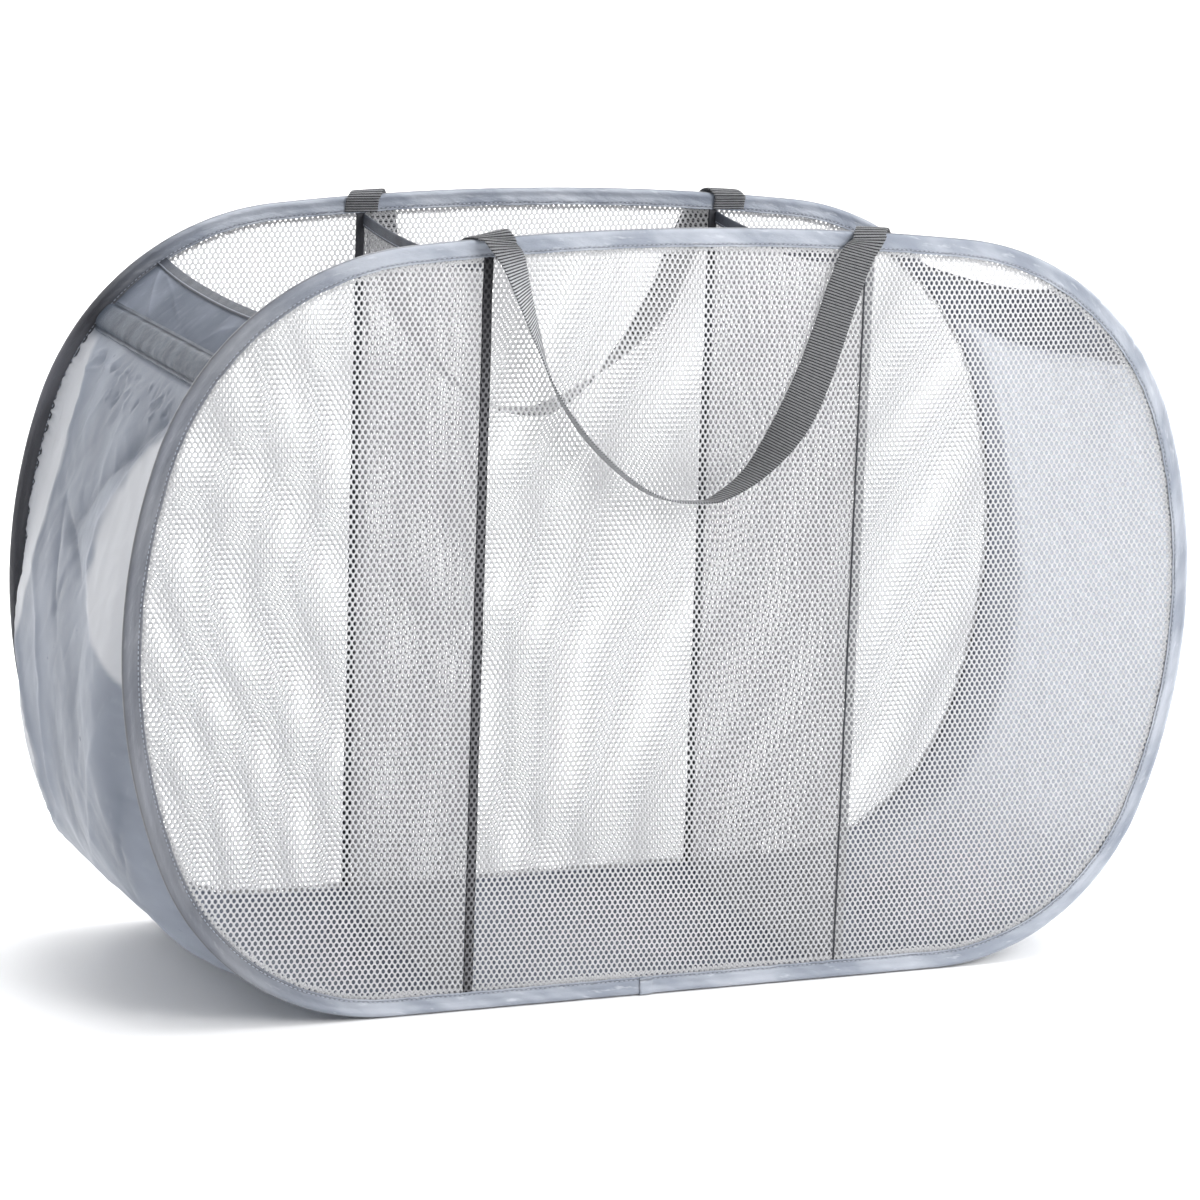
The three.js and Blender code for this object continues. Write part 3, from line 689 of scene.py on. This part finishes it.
def span_share(across):
    return np.sin(np.minimum(1, (1 - np.abs(across)) / 0.35) * math.pi / 2)


def mouth_sag(side, across):
    """How far the right (1) or left (-1) mouth's edge hangs below its level."""
    front, middle, back = MOUTH_SAG[side]
    ends = (front + back) / 2 + (back - front) / 2 * across
    return ends + (middle - (front + back) / 2) * (1 - np.abs(across) ** 2.2)


def strip_at(part, across, out=0.0):
    """A place on the strip: part of the way from the right mouth, under the floor, to the left mouth."""
    right, left = (mouth_sag(side, across) / loop.length for side in (1, -1))
    share = lerp(MOUTH + right, 1 - MOUTH - left, part)
    way = 1 - np.abs(2 * part - 1)
    inset = STRIP_INSET - strip_rise(way) * span_share(across) + STRIP_DEPTH - out
    place = loop.at(share, inset, across * STRIP_HALF_SPAN)
    place[..., 2] = np.maximum(place[..., 2], STRIP_DEPTH)
    return place


def fold(along, y, line, height, breadth):
    """Height of one fold: sharp at its line, falling away from it and towards its ends."""
    total, nearest, taper = len(line) - 1, np.inf, 0.0
    for k, ((a, b), (c, d)) in enumerate(zip(line, line[1:])):
        run = (c - a, d - b)
        share = np.clip(((along - a) * run[0] + (y - b) * run[1]) / (run[0] ** 2 + run[1] ** 2), 0, 1)
        away = np.hypot(along - a - share * run[0], y - b - share * run[1])
        taper = np.where(away < nearest, np.sin((k + share) / total * math.pi) ** 0.5, taper)
        nearest = np.minimum(nearest, away)
    return height * taper * np.exp(-nearest / breadth)


def chance_folds(seed):
    """Short straight folds at chance places: many over the hanging cloth, sharp ones below the sleeve."""
    draw = np.random.default_rng(seed)
    folds = []
    for count, low, high, lengths, heights, breadths in (
            (34, 0.10, 0.50, (0.03, 0.12), (0.0003, 0.0010), (0.003, 0.010)),
            (52, 0.077, 0.106, (0.006, 0.022), (0.0006, 0.0018), (0.0009, 0.0020))):
        for _ in range(count):
            along, y = draw.uniform(low, high), draw.uniform(-0.125, 0.125)
            angle = math.radians(lerp(48, 4, min(1, along / 0.4)) + draw.normal(0, 24))
            reach = draw.uniform(*lengths) / 2
            run = (reach * math.cos(angle), reach * math.sin(angle))
            height = draw.uniform(*heights) * draw.choice((-1, 1))
            line = ((along - run[0], y - run[1]), (along + run[0], y + run[1]))
            folds.append((line, height, draw.uniform(*breadths)))
    return folds


def strip_folds(part, across):
    """How far the strip's folds, gathers and crinkles stand out of its smooth shape."""
    y = np.broadcast_to(across * STRIP_HALF_SPAN, np.broadcast_shapes(part.shape, across.shape))
    from_mouth = np.broadcast_to(STRIP_LENGTH * np.minimum(part, 1 - part), y.shape)
    end = np.where(part < 0.5, 1.0, -1.0)
    from_edge = (1 - np.abs(across)) * STRIP_HALF_SPAN
    below = from_mouth - SLEEVE_FROM_MOUTH
    loose = ease(below, 0.012, 0.030)
    floor = ease(from_mouth, 0.53, 0.62)
    long_folds = rough(from_mouth / 0.12, y / 0.034 + 0.4 * from_mouth / 0.1, end * 3.7)
    small = 1 - 2 * np.abs(rough(from_mouth / 0.022, y / 0.020, end * 6.3 + 9))
    leaning = from_edge / 0.018 + from_mouth / 0.03
    tucks = 1 - 2 * np.abs(rough(from_mouth / 0.009, leaning, np.sign(across) * 4.2 + end))
    seam = np.exp(-from_edge / 0.010) * ease(from_edge, 0.0, 0.0015)
    middle = ease(from_edge, 0.0, 0.022)
    creases = np.zeros(y.shape)
    for half, seed in ((part[:, 0] < 0.5, 11), (part[:, 0] >= 0.5, 23)):
        for line, height, breadth in FOLDS + tuple(chance_folds(seed)):
            creases[half] += fold(from_mouth[half], y[half], line, height, breadth)
    taut = ease(from_mouth, 0.006, 0.012) * (1 - ease(from_mouth, 0.0415, 0.0465))
    out = middle * (loose + taut) * creases
    out = out + loose * middle * (0.0022 * long_folds + 0.0004 * small) + loose * 0.0034 * seam * tucks
    return lerp(out, 0.25 * out, floor)


def right_end_shade(part, across):
    """1 along the right end's edge in front of the back binding, where the binding's shadow is painted on
    the thin cloth.
    """
    return ease(across * STRIP_HALF_SPAN, *BACK_SHADE) * (part < 0.5)


def painted_strip_shading(part, across, folds):
    """How pale the cloth looks, as painted shading: from 0 in its fold valleys, painted shade, to 1 on its
    ridges, painted highlight. It is darker above the sleeve, and painted shadow darkens it on the right end
    in front of the binding and on the floor."""
    from_mouth = STRIP_LENGTH * np.minimum(part, 1 - part)
    panel = 1 - ease(from_mouth, 0.044, 0.050)
    shade = right_end_shade(part, across) * (1 - ease(from_mouth, *UPRIGHT_END))
    floor = ease(from_mouth, *ON_FLOOR)
    return np.clip(0.55 + folds / 0.0060 - 0.34 * panel - 0.45 * shade - 0.5 * floor, 0, 1)


def strip_thinness_and_painted_light(part, across):
    """Where the cloth lets light through: from 1 where it lies single to -1 where it is doubled. It is
    raised as painted light in a band near the back and a patch near the front of the left end and over the
    right end, and lowered as painted shadow in front of the back binding and on the floor.
    """
    y = across * STRIP_HALF_SPAN
    from_mouth = STRIP_LENGTH * np.minimum(part, 1 - part)
    ragged = 0.004 * rough(from_mouth / 0.02, y / 0.02, 1.7)
    band = ease(y - np.interp(from_mouth, *BACK_BAND) + ragged, -0.003, 0.004)
    patch = ease(np.interp(from_mouth, *FRONT_PATCH) - y + 2 * ragged, -0.004, 0.012)
    left = ease(from_mouth, *BELOW_SLEEVE) * (part > 0.5)
    doubled = 1 - ease(from_mouth, 0.070, 0.074)
    shade = 0.6 * right_end_shade(part, across)
    right = 0.4 * ease(from_mouth, *BELOW_SLEEVE) * (part < 0.5) * (1 - ease(from_mouth, *UPRIGHT_END))
    floor = 0.6 * ease(from_mouth, *ON_FLOOR)
    thinness_and_painted_light = np.maximum(band, patch) * left + right * (1 - shade)
    return thinness_and_painted_light - np.maximum(np.maximum(doubled, shade), floor)


def make_strip(materials):
    """The strip, whose rows lie closest where its folds are finest: at the top of each end."""
    along, share = zip((0, 0), (0.16, 0.36), (0.55, 0.78), (STRIP_LENGTH / 2, 1))
    half = np.interp(np.linspace(0, 1, 321), share, along) / STRIP_LENGTH
    part = np.append(half, 1 - half[-2::-1])[:, None]
    across = np.linspace(-1, 1, 151)[None, :]
    folds = strip_folds(part, across)
    grid = strip_at(part, across, folds)
    given = {"thinness_and_painted_light": strip_thinness_and_painted_light(part, across), "painted_shading_and_tone": painted_strip_shading(part, across, folds)}
    strip = make_grid("taffeta", grid, materials["taffeta"], given=given)
    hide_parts("taffeta_strip")
    return strip


def on_end(side, along, out, y):
    """A place at an end of the strip: so far along from its mouth, and out from the cloth."""
    return loop.at(side * (MOUTH + along / loop.length), STRIP_INSET - out, y)


def hairpin(cloth, tape):
    """Section of a tape folded over an edge: along the cloth from the edge, and out from its middle."""
    outer, inner = cloth + tape, cloth
    turn = np.radians(np.linspace(-90, 90, 7))
    outside = [(a, -outer) for a in np.linspace(HEM_REACH, 0, 7)]
    outside += [(-outer * math.cos(a), outer * math.sin(a)) for a in turn[1:-1]]
    outside += [(a, outer) for a in np.linspace(0, HEM_REACH, 7)]
    inside = [(HEM_REACH, inner), (0, inner), (-inner, 0), (0, -inner), (HEM_REACH, -inner)]
    return np.array(outside + inside)


def make_mouth_tape(name, side, materials):
    across = np.linspace(-1, 1, 161)[:, None]
    along, out = hairpin(0.0004, 0.0006).T[:, None]
    y = across * (STRIP_HALF_SPAN - 0.0001)
    pucker = rough(y / 0.006 + along / 0.004, along / 0.01, side * 3.3)
    out = out + np.sign(out) * 0.00025 * np.abs(pucker) * ease(along, 0.001, 0.006)
    edge = mouth_sag(side, across)
    grid = on_end(side, edge + along, out - STRIP_DEPTH, y)
    tape = make_grid(f"{name}_mouth_tape", grid, materials["hem"], closed=True)
    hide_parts(f"{name}_mouth_hem")
    rows = []
    for way in (-1, 1):
        line = on_end(side, edge[:, 0] + HEM_REACH - 0.0014, way * 0.0014 - STRIP_DEPTH, y[:, 0])
        near, far = (on_end(side, edge[:, 0] + HEM_REACH, way * out, y[:, 0]) for out in (0.0014, 0.0114))
        outs = far - near
        rows.append((line, outs / np.linalg.norm(outs, axis=1, keepdims=True)))
    return tape, stitch_rows(f"{name}_mouth_stitches", rows, materials["thread"])


def sleeve_height(along):
    """How far the sleeve stands out at a distance from its middle line."""
    hump = np.sqrt(1 - np.clip(np.abs(along) / 0.0105, 0, 1) ** 4)
    return 0.0009 + (SLEEVE_RIDGE - 0.0009) * hump


def sleeve_slant(side, y):
    """How far the sleeve of an end lies below its level: the left one was sewn on askew."""
    return -0.0022 - 0.0040 * y / STRIP_HALF_SPAN if side < 0 else 0 * y


def make_pocket(name, side, materials):
    """The sewn pocket of a stiffener: flat lips along both edges, a raised middle and a round back end."""
    half = STRIP_HALF_SPAN - 0.0005
    y = np.linspace(-half, half, 241)[:, None]
    share = np.linspace(-1, 1, 41)[None, :]
    past = np.clip(y - (half - SLEEVE_CORNER), 0, SLEEVE_CORNER)
    narrow = SLEEVE_CORNER - np.sqrt(np.maximum(SLEEVE_CORNER ** 2 - past ** 2, 0.0))
    width = SLEEVE_HEIGHT / 2 - narrow
    along = share * width
    ends = ease(half - np.abs(y), 0.0, 0.006)
    rumple = rough(y / 0.010, along / 0.005, side * 2.9) + 0.5 * rough(y / 0.004, along / 0.003, side * 6.1)
    out = sleeve_height(along * (SLEEVE_HEIGHT / 2 / width)) * lerp(0.55, 1.0, ends)
    out = out + 0.00022 * rumple * ease(0.0135 - np.abs(along), 0.0008, 0.004) * ends
    slits = np.exp(-((along + 0.0100) / 0.0009) ** 2) * ease(rough(y / 0.011, 0.5, side * 9.1), -0.5, 0.2)
    out = out - 0.0007 * slits * ends
    along = along + 0.0004 * rough(y / 0.009, 3.5, side * 4.4) * np.abs(share) ** 3
    middle = SLEEVE_FROM_MOUTH + sleeve_slant(side, y)
    top = on_end(side, middle + along, out, y)
    base = on_end(side, middle + along[:, ::-1], 0 * out, y)
    grid = np.concatenate([top, base], axis=1)
    # Painted highlights along the lips' edges and round the back end
    painted_ridge_highlight = np.exp(-((along + 0.0118) / 0.0007) ** 2) + np.exp(-((along - 0.0128) / 0.0007) ** 2)
    painted_ridge_highlight = painted_ridge_highlight + 0.8 * (1 - ease(half - y, 0.0, 0.0016))
    given = {key: np.concatenate([a * np.ones_like(share), 0 * along], axis=1)
             for key, a in (("furrow_with_painted_shade", slits * ends), ("painted_ridge_highlight", painted_ridge_highlight))}
    pocket = make_grid(f"{name}_pocket", grid, materials["sleeve"], True, given)
    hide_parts(f"{name}_sleeve")
    rows = []
    for way in (-1, 1):
        at = middle[:, 0] + way * (width[:, 0] - 0.0022)
        line, above = (on_end(side, at, out, y[:, 0]) for out in (0.0013, 0.0113))
        rows.append((line, (above - line) / np.linalg.norm(above - line, axis=1, keepdims=True)))
    return pocket, stitch_rows(f"{name}_pocket_stitches", rows, materials["sleeve_thread"])


def make_stiffener(name, side, materials):
    """The flat strip inside a pocket."""
    y = np.linspace(-STIFFENER_HALF_LENGTH, STIFFENER_HALF_LENGTH, 61)[:, None]
    end = np.clip(np.abs(y) - STIFFENER_HALF_LENGTH + STIFFENER_CORNER, 0, STIFFENER_CORNER)
    half = STIFFENER_HALF_WIDTH - STIFFENER_CORNER + np.sqrt(STIFFENER_CORNER ** 2 - end ** 2)
    section = np.array([(-1, 1), (-0.95, 0), (0.95, 0), (1, 1), (0.95, 2), (-0.95, 2)]).T[:, None]
    middle = SLEEVE_FROM_MOUTH + sleeve_slant(side, y)
    grid = on_end(side, middle + section[0] * half, 0.0010 + 0.0006 * section[1], y)
    strip = make_grid(f"{name}_stiffener_strip", grid, materials["stiffener"], closed=True)
    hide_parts(f"{name}_stiffener")
    return strip


# Nets

def net_map(places, side):
    """The map of a net that was stretched unevenly and cut a little off its grain."""
    x, z = places[..., 0], places[..., 2]
    if side < 0:
        u = x * (1.055 - 0.12 * np.abs(x)) + (0.04 + 0.12 * x) * (z - 0.27)
        v = z + 0.04 * x - 0.10 * np.maximum(x, 0) ** 2
    else:
        u, v = 0.975 * x + 0.03 * z, 0.925 * z - 0.02 * x
    u = u + 0.0014 * rough(x / 0.11, z / 0.13, side * 3.3)
    v = v + 0.0014 * rough(x / 0.12, z / 0.10, side * 6.6 + 4)
    return np.stack([u, v], -1)


def make_face_net(name, face_y, materials):
    """The net of a face: rings from its middle out to the seam in the binding."""
    around = np.linspace(0, 1, 257)[None, :-1]
    ring = np.linspace(0, 1, 49)[1:, None]
    edge = loop.at(around, BINDING_WIDTH - 0.006)
    middle = np.array((0.0, 0.0, FRAME_HEIGHT / 2))
    grid = middle + (edge - middle) * ring[..., None]
    billow = rough(grid[..., 0] / 0.13, grid[..., 2] / 0.11, face_y * 40)
    grid[..., 1] = face_y + 0.0006 * billow * (1 - ring ** 4)
    places = np.concatenate([grid.reshape(-1, 3), [(0.0, face_y, FRAME_HEIGHT / 2)]])
    rows, columns = grid.shape[:2]
    faces = []
    for i in range(rows - 1):
        for j in range(columns):
            k = (j + 1) % columns
            faces.append((i * columns + j, i * columns + k, (i + 1) * columns + k, (i + 1) * columns + j))
    faces += [(rows * columns, (j + 1) % columns, j) for j in range(columns)]
    flat = net_map(places, math.copysign(1, face_y))
    maps = np.concatenate([flat[list(f)] for f in faces])
    net = make_piece(f"{name}_net", places, faces, maps, materials[f"{name}_net"])
    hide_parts(f"{name}_mesh")
    return net


def make_net_edges(name, face_y, materials):
    """The net's ragged cut edges, turned back on both sides of it and caught in the binding's seam."""
    share = np.linspace(0, 1, 1201)[:, None]
    along = share * loop.length
    width = np.linspace(BINDING_WIDTH - 0.003, BINDING_WIDTH + NET_EDGE, 5)
    way = math.copysign(1, face_y)
    edges = []
    for side_name, side in (("outer", way), ("inner", -way)):
        ragged = 0.0009 * rough(along / 0.004, 0.5, face_y * 10 + side)
        inset = width + np.array((0, 0, 0, 0.5, 1)) * ragged
        lie = 0.0006 + 0.0002 * rough(along / 0.006, inset / 0.004, side)
        grid = loop.at(share, inset, face_y + side * lie)
        edges.append(make_grid(f"{name}_net_{side_name}_edge", grid, materials[f"{name}_net"]))
    return edges


def divider_x(side, y):
    """Where a divider stands: its seam on the front face is a little further left than on the back one."""
    front, back = DIVIDER_ENDS[side]
    return lerp(front, back, (y / HALF_SPACING + 1) / 2)


def divider_top(y):
    """Height of a divider's top edge, which sags between the faces."""
    stitched = loop.crown(DIVIDER_X) - BINDING_WIDTH - 0.0024
    return stitched - DIVIDER_SAG * (1 - (y / STRIP_HALF_SPAN) ** 2)


def make_partition(name, side, materials):
    y = np.linspace(-DIVIDER_HALF_SPAN, DIVIDER_HALF_SPAN, 61)[:, None]
    share = np.linspace(0, 1, 91)[None, :]
    low = STRIP_INSET * (1 - span_share(y / STRIP_HALF_SPAN)) + STRIP_DEPTH
    z = lerp(low, divider_top(y), share)
    held = np.sin(share * math.pi) ** 0.5 * (1 - (y / DIVIDER_HALF_SPAN) ** 2)
    x = divider_x(side, y) + 0.0035 * held * rough(y / 0.10, z / 0.16, side * 7.7)
    grid = stacked(x, y, z)
    net = make_grid(f"{name}_partition", grid, materials["partition_net"])
    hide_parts(f"{name}_divider")
    return net


def make_partition_tape(name, side, materials):
    half = DIVIDER_HALF_SPAN - 0.0001
    y = np.linspace(-half, half, 121)[:, None]
    along, out = hairpin(0.0003, 0.0006).T[:, None]
    out = out + np.sign(out) * 0.0003 * np.abs(rough(y / 0.007 + along / 0.004, 1.5, side)) * (along > 0.001)
    grid = stacked(divider_x(side, y) + out, y, divider_top(y) - along)
    tape = make_grid(f"{name}_partition_tape", grid, materials["hem"], closed=True)
    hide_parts(f"{name}_divider_hem")
    y = y[:, 0]
    rows = []
    for way in (-1, 1):
        line = stacked(divider_x(side, y) + way * 0.0012, y, divider_top(y) - HEM_REACH + 0.0014)
        rows.append((line, np.tile((float(way), 0.0, 0.0), (len(line), 1))))
    return tape, stitch_rows(f"{name}_partition_stitches", rows, materials["thread"])


def seam_levels(count):
    """Levels along a divider's seam, from the binding on the floor to the one under the crown."""
    high = loop.crown(DIVIDER_X + SEAM_TAPE / 2) - BINDING_WIDTH
    return np.linspace(BINDING_WIDTH, high, count)[:, None]


def make_seam_tape(name, end, face_y, side, offset, material, outside):
    """The tape down a face, along a divider's seam and a little to one side of it."""
    way = math.copysign(1, face_y) * (1 if outside else -1)
    z = seam_levels(121)
    half = SEAM_TAPE / 2
    section = [(s * half, 0.0002) for s in np.linspace(-1, 1, 7)]
    section += [(s * half, 0.0002 + 0.0009 * (1 - abs(s) ** 6)) for s in np.linspace(1, -1, 9)[1:-1]]
    across, thick = np.array(section).T[:, None]
    across = across + 0.0003 * rough(z / 0.03, 0.5, side * 3 + face_y * 20)
    thick = thick * (1 + 0.3 * rough(z / 0.006 + across / 0.003, 0.5, side * 5 + face_y * 20))
    x = divider_x(side, face_y) + offset + across
    grid = stacked(x, face_y + way * (thick + 0.0003), z)
    tape = make_grid(f"{name}_{end}_seam_cover", grid, material, closed=True)
    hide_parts(f"{name}_{end}_seam_tape")
    return tape


def make_seam_cord(name, end, face_y, side, width, offset, materials):
    """The narrow fold of a divider's tape that the seam pulls through to the outside of the net."""
    outward = math.copysign(1, face_y)
    z = seam_levels(241)
    turn = np.linspace(0, 2 * math.pi, 11)[None, :-1]
    wander = 0.0003 * rough(z / 0.02, 0.5, side * 8 + face_y)
    size = 1 + 0.25 * rough(z / 0.005, turn / 3, side * 2 + face_y * 9)
    x = divider_x(side, face_y) + offset + wander + width / 2 * np.cos(turn) * size
    y = face_y + outward * (0.0007 + 0.0005 * np.sin(turn) * size)
    return make_grid(f"{name}_{end}_seam_cord", stacked(x, y, z), materials["tape"], closed=True)


# Handles

def smooth_line(controls, count):
    """Places at even distances along a smooth line through the controls."""
    ends = np.vstack([2 * controls[0] - controls[1], controls, 2 * controls[-1] - controls[-2]])
    t = np.linspace(0, len(controls) - 1, 40 * len(controls))
    i = np.minimum(t.astype(int), len(controls) - 2)
    f = (t - i)[:, None]
    a, b, c, d = (ends[i + k] for k in range(4))
    line = b + 0.5 * f * (c - a + f * (2 * a - 5 * b + 4 * c - d + f * (3 * (b - c) + d - a)))
    along = np.append(0, np.cumsum(np.linalg.norm(np.diff(line[:, :3], axis=0), axis=1)))
    even = np.linspace(0, along[-1], count)
    return np.stack([np.interp(even, along, line[:, k]) for k in range(line.shape[1])], -1)


def strap_section():
    """Across and through a flat strap with round edges, as shares of its half sizes."""
    top = [(w, 1 - 0.5 * abs(w) ** 14) for w in np.linspace(-0.97, 0.97, 15)]
    edge = [(1.0, 0.0)]
    return np.array(top + edge + [(-w, -t) for w, t in top] + [(-1.0, 0.0)])


def strap_way(line, level=0.0):
    """The way of a strap along its line. Where it is level its width lies along the wire instead of square
    to its line, and the way is turned to suit."""
    along = np.gradient(line, axis=0)
    along[:, 0] *= 1 - level
    return along / np.linalg.norm(along, axis=1, keepdims=True)


def strap_grid(line, face, level=0.0):
    """A strap along a line of places, whose flat side looks the way of face."""
    along = strap_way(line, level)
    face = face - along * (face * along).sum(1, keepdims=True)
    face /= np.linalg.norm(face, axis=1, keepdims=True)
    width = np.cross(along, face)
    across, through = strap_section().T[..., None]
    return (line[:, None] + width[:, None] * (across * STRAP_WIDTH / 2)
            + face[:, None] * (through * STRAP_THICKNESS / 2))


def handle_controls(name, left_lean):
    """Controls of the strap from the left crest to the right one: across, out from the wire, up from it,
    its turn towards its edge, the way out of the bend over the crest, its lean over the crest, and how
    level it lies."""
    sides = []
    for side, crest, hang, turns, lean in ((-1, HANDLE_CRESTS[name][0], LEFT_HANG, LEFT_TURN, left_lean),
                                           (1, HANDLE_CRESTS[name][1], RIGHT_HANG, RIGHT_TURN, 3)):
        controls = []
        for degrees in range(0, 180, 15):
            angle = math.radians(degrees)
            radius = STRAP_BEND + float(0.0003 * ease(degrees, 20, 110) + 0.0005 * ease(degrees, 110, 180))
            tilt = math.radians(lean) * math.sin(angle)
            slant = STRAP_SLANT * (math.pi / 2 - angle)
            lift = (loop.crown(crest + slant) - loop.crown(HANDLE_SPAN) + radius + 0.0005) * math.sin(angle)
            place = (side * (crest + slant), -radius * math.cos(angle), lift)
            controls.append((*place, 0.0, -math.cos(angle), math.sin(angle), -side * tilt, 1.0))
        moved = crest - HANDLE_CRESTS["front"][side > 0]
        for share, drop, degrees in zip(hang, HANDLE_DROPS, turns):
            turn = math.radians(degrees)
            near = lerp(0.0050, 0.0014, float(ease(drop, 0, 0.6)))
            out = near + STRAP_THICKNESS / 2 + STRAP_WIDTH / 2 * math.sin(turn)
            across = side * (share * HANDLE_SPAN + moved * (1 - drop))
            level = 1 - float(ease(drop, 0.0, 0.14))
            controls.append((across, out, -drop * HANDLE_DROP[name], turn, 1.0, 0.0, 0.0, level))
        sides.append(controls if side < 0 else controls[:-1])
    return np.array(sides[0] + sides[1][::-1])


def make_strap(name, face_y, body, pivot_z, materials):
    """A webbing handle: sewn ends inside the face, over the crest, and the loop that hangs outside."""
    way = math.copysign(1, face_y)
    controls = handle_controls(name, 13 if name == "front" else 3)
    x, out, up, turn, hint_out, hint_up, lean, level = smooth_line(controls, 480).T
    line = stacked(x, face_y + way * out, pivot_z + up)
    along = strap_way(line, level)
    hint = stacked(-lean, way * hint_out, hint_up)
    outward = hint - along * (hint * along).sum(1, keepdims=True)
    outward /= np.linalg.norm(outward, axis=1, keepdims=True)
    upward = np.cross(along, outward) * way
    face = outward * np.cos(turn)[:, None] + upward * np.sin(turn)[:, None]
    # Painted sheen: how far the strap has turned its face up, which pales its yarns
    painted_sheen = np.repeat((ease(turn, 0.2, 0.9) * ease(-x, -0.02, 0.03))[:, None], len(strap_section()), 1)
    grid = strap_grid(line, face, level)
    strap = make_grid(f"{name}_strap", grid, materials["webbing"], True, {"painted_sheen": painted_sheen})
    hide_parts(f"{name}_handle")
    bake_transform(strap)
    inside = np.array([(-0.00225, -0.0093), (-0.0028, -0.006), (-0.0042, -0.002), (-STRAP_BEND, 0)])
    inside = smooth_line(inside, 24)
    for end, crest, side in zip(("left", "right"), HANDLE_CRESTS[name], (-1, 1)):
        across = side * (crest + STRAP_END_SHIFT)
        line = stacked(across, face_y + way * inside[:, 0], pivot_z + inside[:, 1])
        face = np.tile((0.0, -way, 0.2), (24, 1))
        tab = make_grid(f"{name}_{end}_strap_end", strap_grid(line, face), materials["webbing"], True)
        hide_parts(f"{name}_handle_{end}_tab")
        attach(tab, body)


# Assembly

def squeeze(piece):
    """A soft piece between the faces, attached to the bag's body with a mesh of its own."""
    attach(piece, "bag")
    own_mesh(piece)


def build_face(name, face_y, body, materials):
    tape, stitches = make_binding(name, face_y, materials)
    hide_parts(f"{name}_binding")
    net = make_face_net(name, face_y, materials)
    covers = make_net_edges(name, face_y, materials)
    for end, side, width, offset in (("left", -1, 0.0034, 0.0045), ("right", 1, 0.0015, -0.0018)):
        # The front right seam tape takes the lit copy of the tape's colour and the rest the shaded copy, as
        # painted light and shade
        pale = name == "front" and end == "right"
        outside = name == "front" and end == "left"
        shift = -0.0028 if name == "back" else 0.0022
        cloth = materials["pale_tape" if pale else "pressed_tape" if outside else "tape"]
        tapes = [make_seam_tape(name, end, face_y, side, 0.0 if outside else shift, cloth, outside)]
        if not outside:
            tapes.append(make_seam_cord(name, end, face_y, side, width, offset, materials))
        covers += tapes
    for piece in (tape, stitches, net, *covers):
        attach(piece, body)
    make_strap(name, face_y, body, loop.crown(HANDLE_SPAN) - BEAD_RADIUS, materials)


def build_ends(materials):
    strip = make_strip(materials)
    squeeze(strip)
    for name, side in (("left", -1), ("right", 1)):
        hem, hem_stitches = make_mouth_tape(name, side, materials)
        pocket, pocket_stitches = make_pocket(name, side, materials)
        for slot_name, pieces in (("hem", (hem, hem_stitches)), ("sleeve", (pocket, pocket_stitches))):
            for piece in pieces:
                squeeze(piece)
        squeeze(make_stiffener(name, side, materials))
        net = make_partition(name, side, materials)
        squeeze(net)
        tape, tape_stitches = make_partition_tape(name, side, materials)
        squeeze(tape)
        squeeze(tape_stitches)


def dress_steel(materials):
    for node in ("front_wire", "back_wire", "front_ferrule", "back_ferrule"):
        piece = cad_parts[node]
        piece.data.materials.clear()
        piece.data.materials.append(materials["wire"])


def make_stage():
    """A wide pale floor, a pale wall behind that is clear from its far side, and soft light from the front,
    both sides and above."""
    start, bend, top = 1.6, 1.2, 4.0
    half_wall, half_floor, level = 5.0, 40.0, -0.0005
    angles = np.linspace(0.1, math.pi / 2, 12)
    turn = [(start + bend * math.sin(a), bend * (1 - math.cos(a))) for a in angles]
    turn.append((start + bend, top))
    wall = np.array([[(x, y, z + level) for x in (-half_wall, half_wall)] for y, z in turn])
    ends = (-half_floor, half_floor)
    floor = np.array([[(x, y, level) for x in ends] for y in ends])
    for name, grid in (("backdrop", wall), ("ground", floor)):
        pale = Cloth(name, Roughness=0.9)
        pale.feed(Base_Color=mix(pale.spots(2.0), (0.93, 0.93, 0.93), (0.95, 0.95, 0.95)))
        if name == "backdrop":
            pale.feed(Alpha=1.0 - make_node(pale.tree, "ShaderNodeNewGeometry", output="Backfacing"))
        make_grid(name, grid, pale.material)
    lamps = (
        ("key", "AREA", (1.5, -2.9, 2.2), (0.1, 0.0, 0.25), 2.0, 90.0),
        ("right", "AREA", (1.35, 0.05, 0.60), (0.4, 0.0, 0.28), 0.7, 12.0),
        ("left", "AREA", (-2.6, -0.5, 2.1), (-0.3, 0.0, 0.1), 1.2, 9.0),
        ("top", "SUN", (0.7, -0.1, 2.6), (0.1, 0.0, 0.1), math.radians(45), 2.0),
        ("behind", "AREA", (0.0, 1.6, 2.8), (0.0, 3.4, 1.2), 2.4, 90.0),
    )
    for name, kind, place, target, size, power in lamps:
        data = bpy.data.lights.new(name, kind)
        data.energy = power
        setattr(data, "angle" if kind == "SUN" else "size", size)
        lamp = bpy.data.objects.new(name, data)
        bpy.context.scene.collection.objects.link(lamp)
        lamp.location = place
        lamp.visible_camera = False
        lamp.rotation_euler = (Vector(target) - Vector(place)).to_track_quat("-Z", "Y").to_euler()
    world = bpy.data.worlds.new("studio")
    world.use_nodes = True
    sky = world.node_tree.nodes["Background"]
    sky.inputs["Color"].default_value = (0.97, 0.98, 1.0, 1.0)
    sky.inputs["Strength"].default_value = 0.36
    bpy.context.scene.world = world
    bpy.context.scene.view_settings.view_transform = "Standard"


make_camera()
all_materials = make_materials()
build_face("back", HALF_SPACING, "bag", all_materials)
build_face("front", -HALF_SPACING, "front_face", all_materials)
build_ends(all_materials)
dress_steel(all_materials)
make_stage()
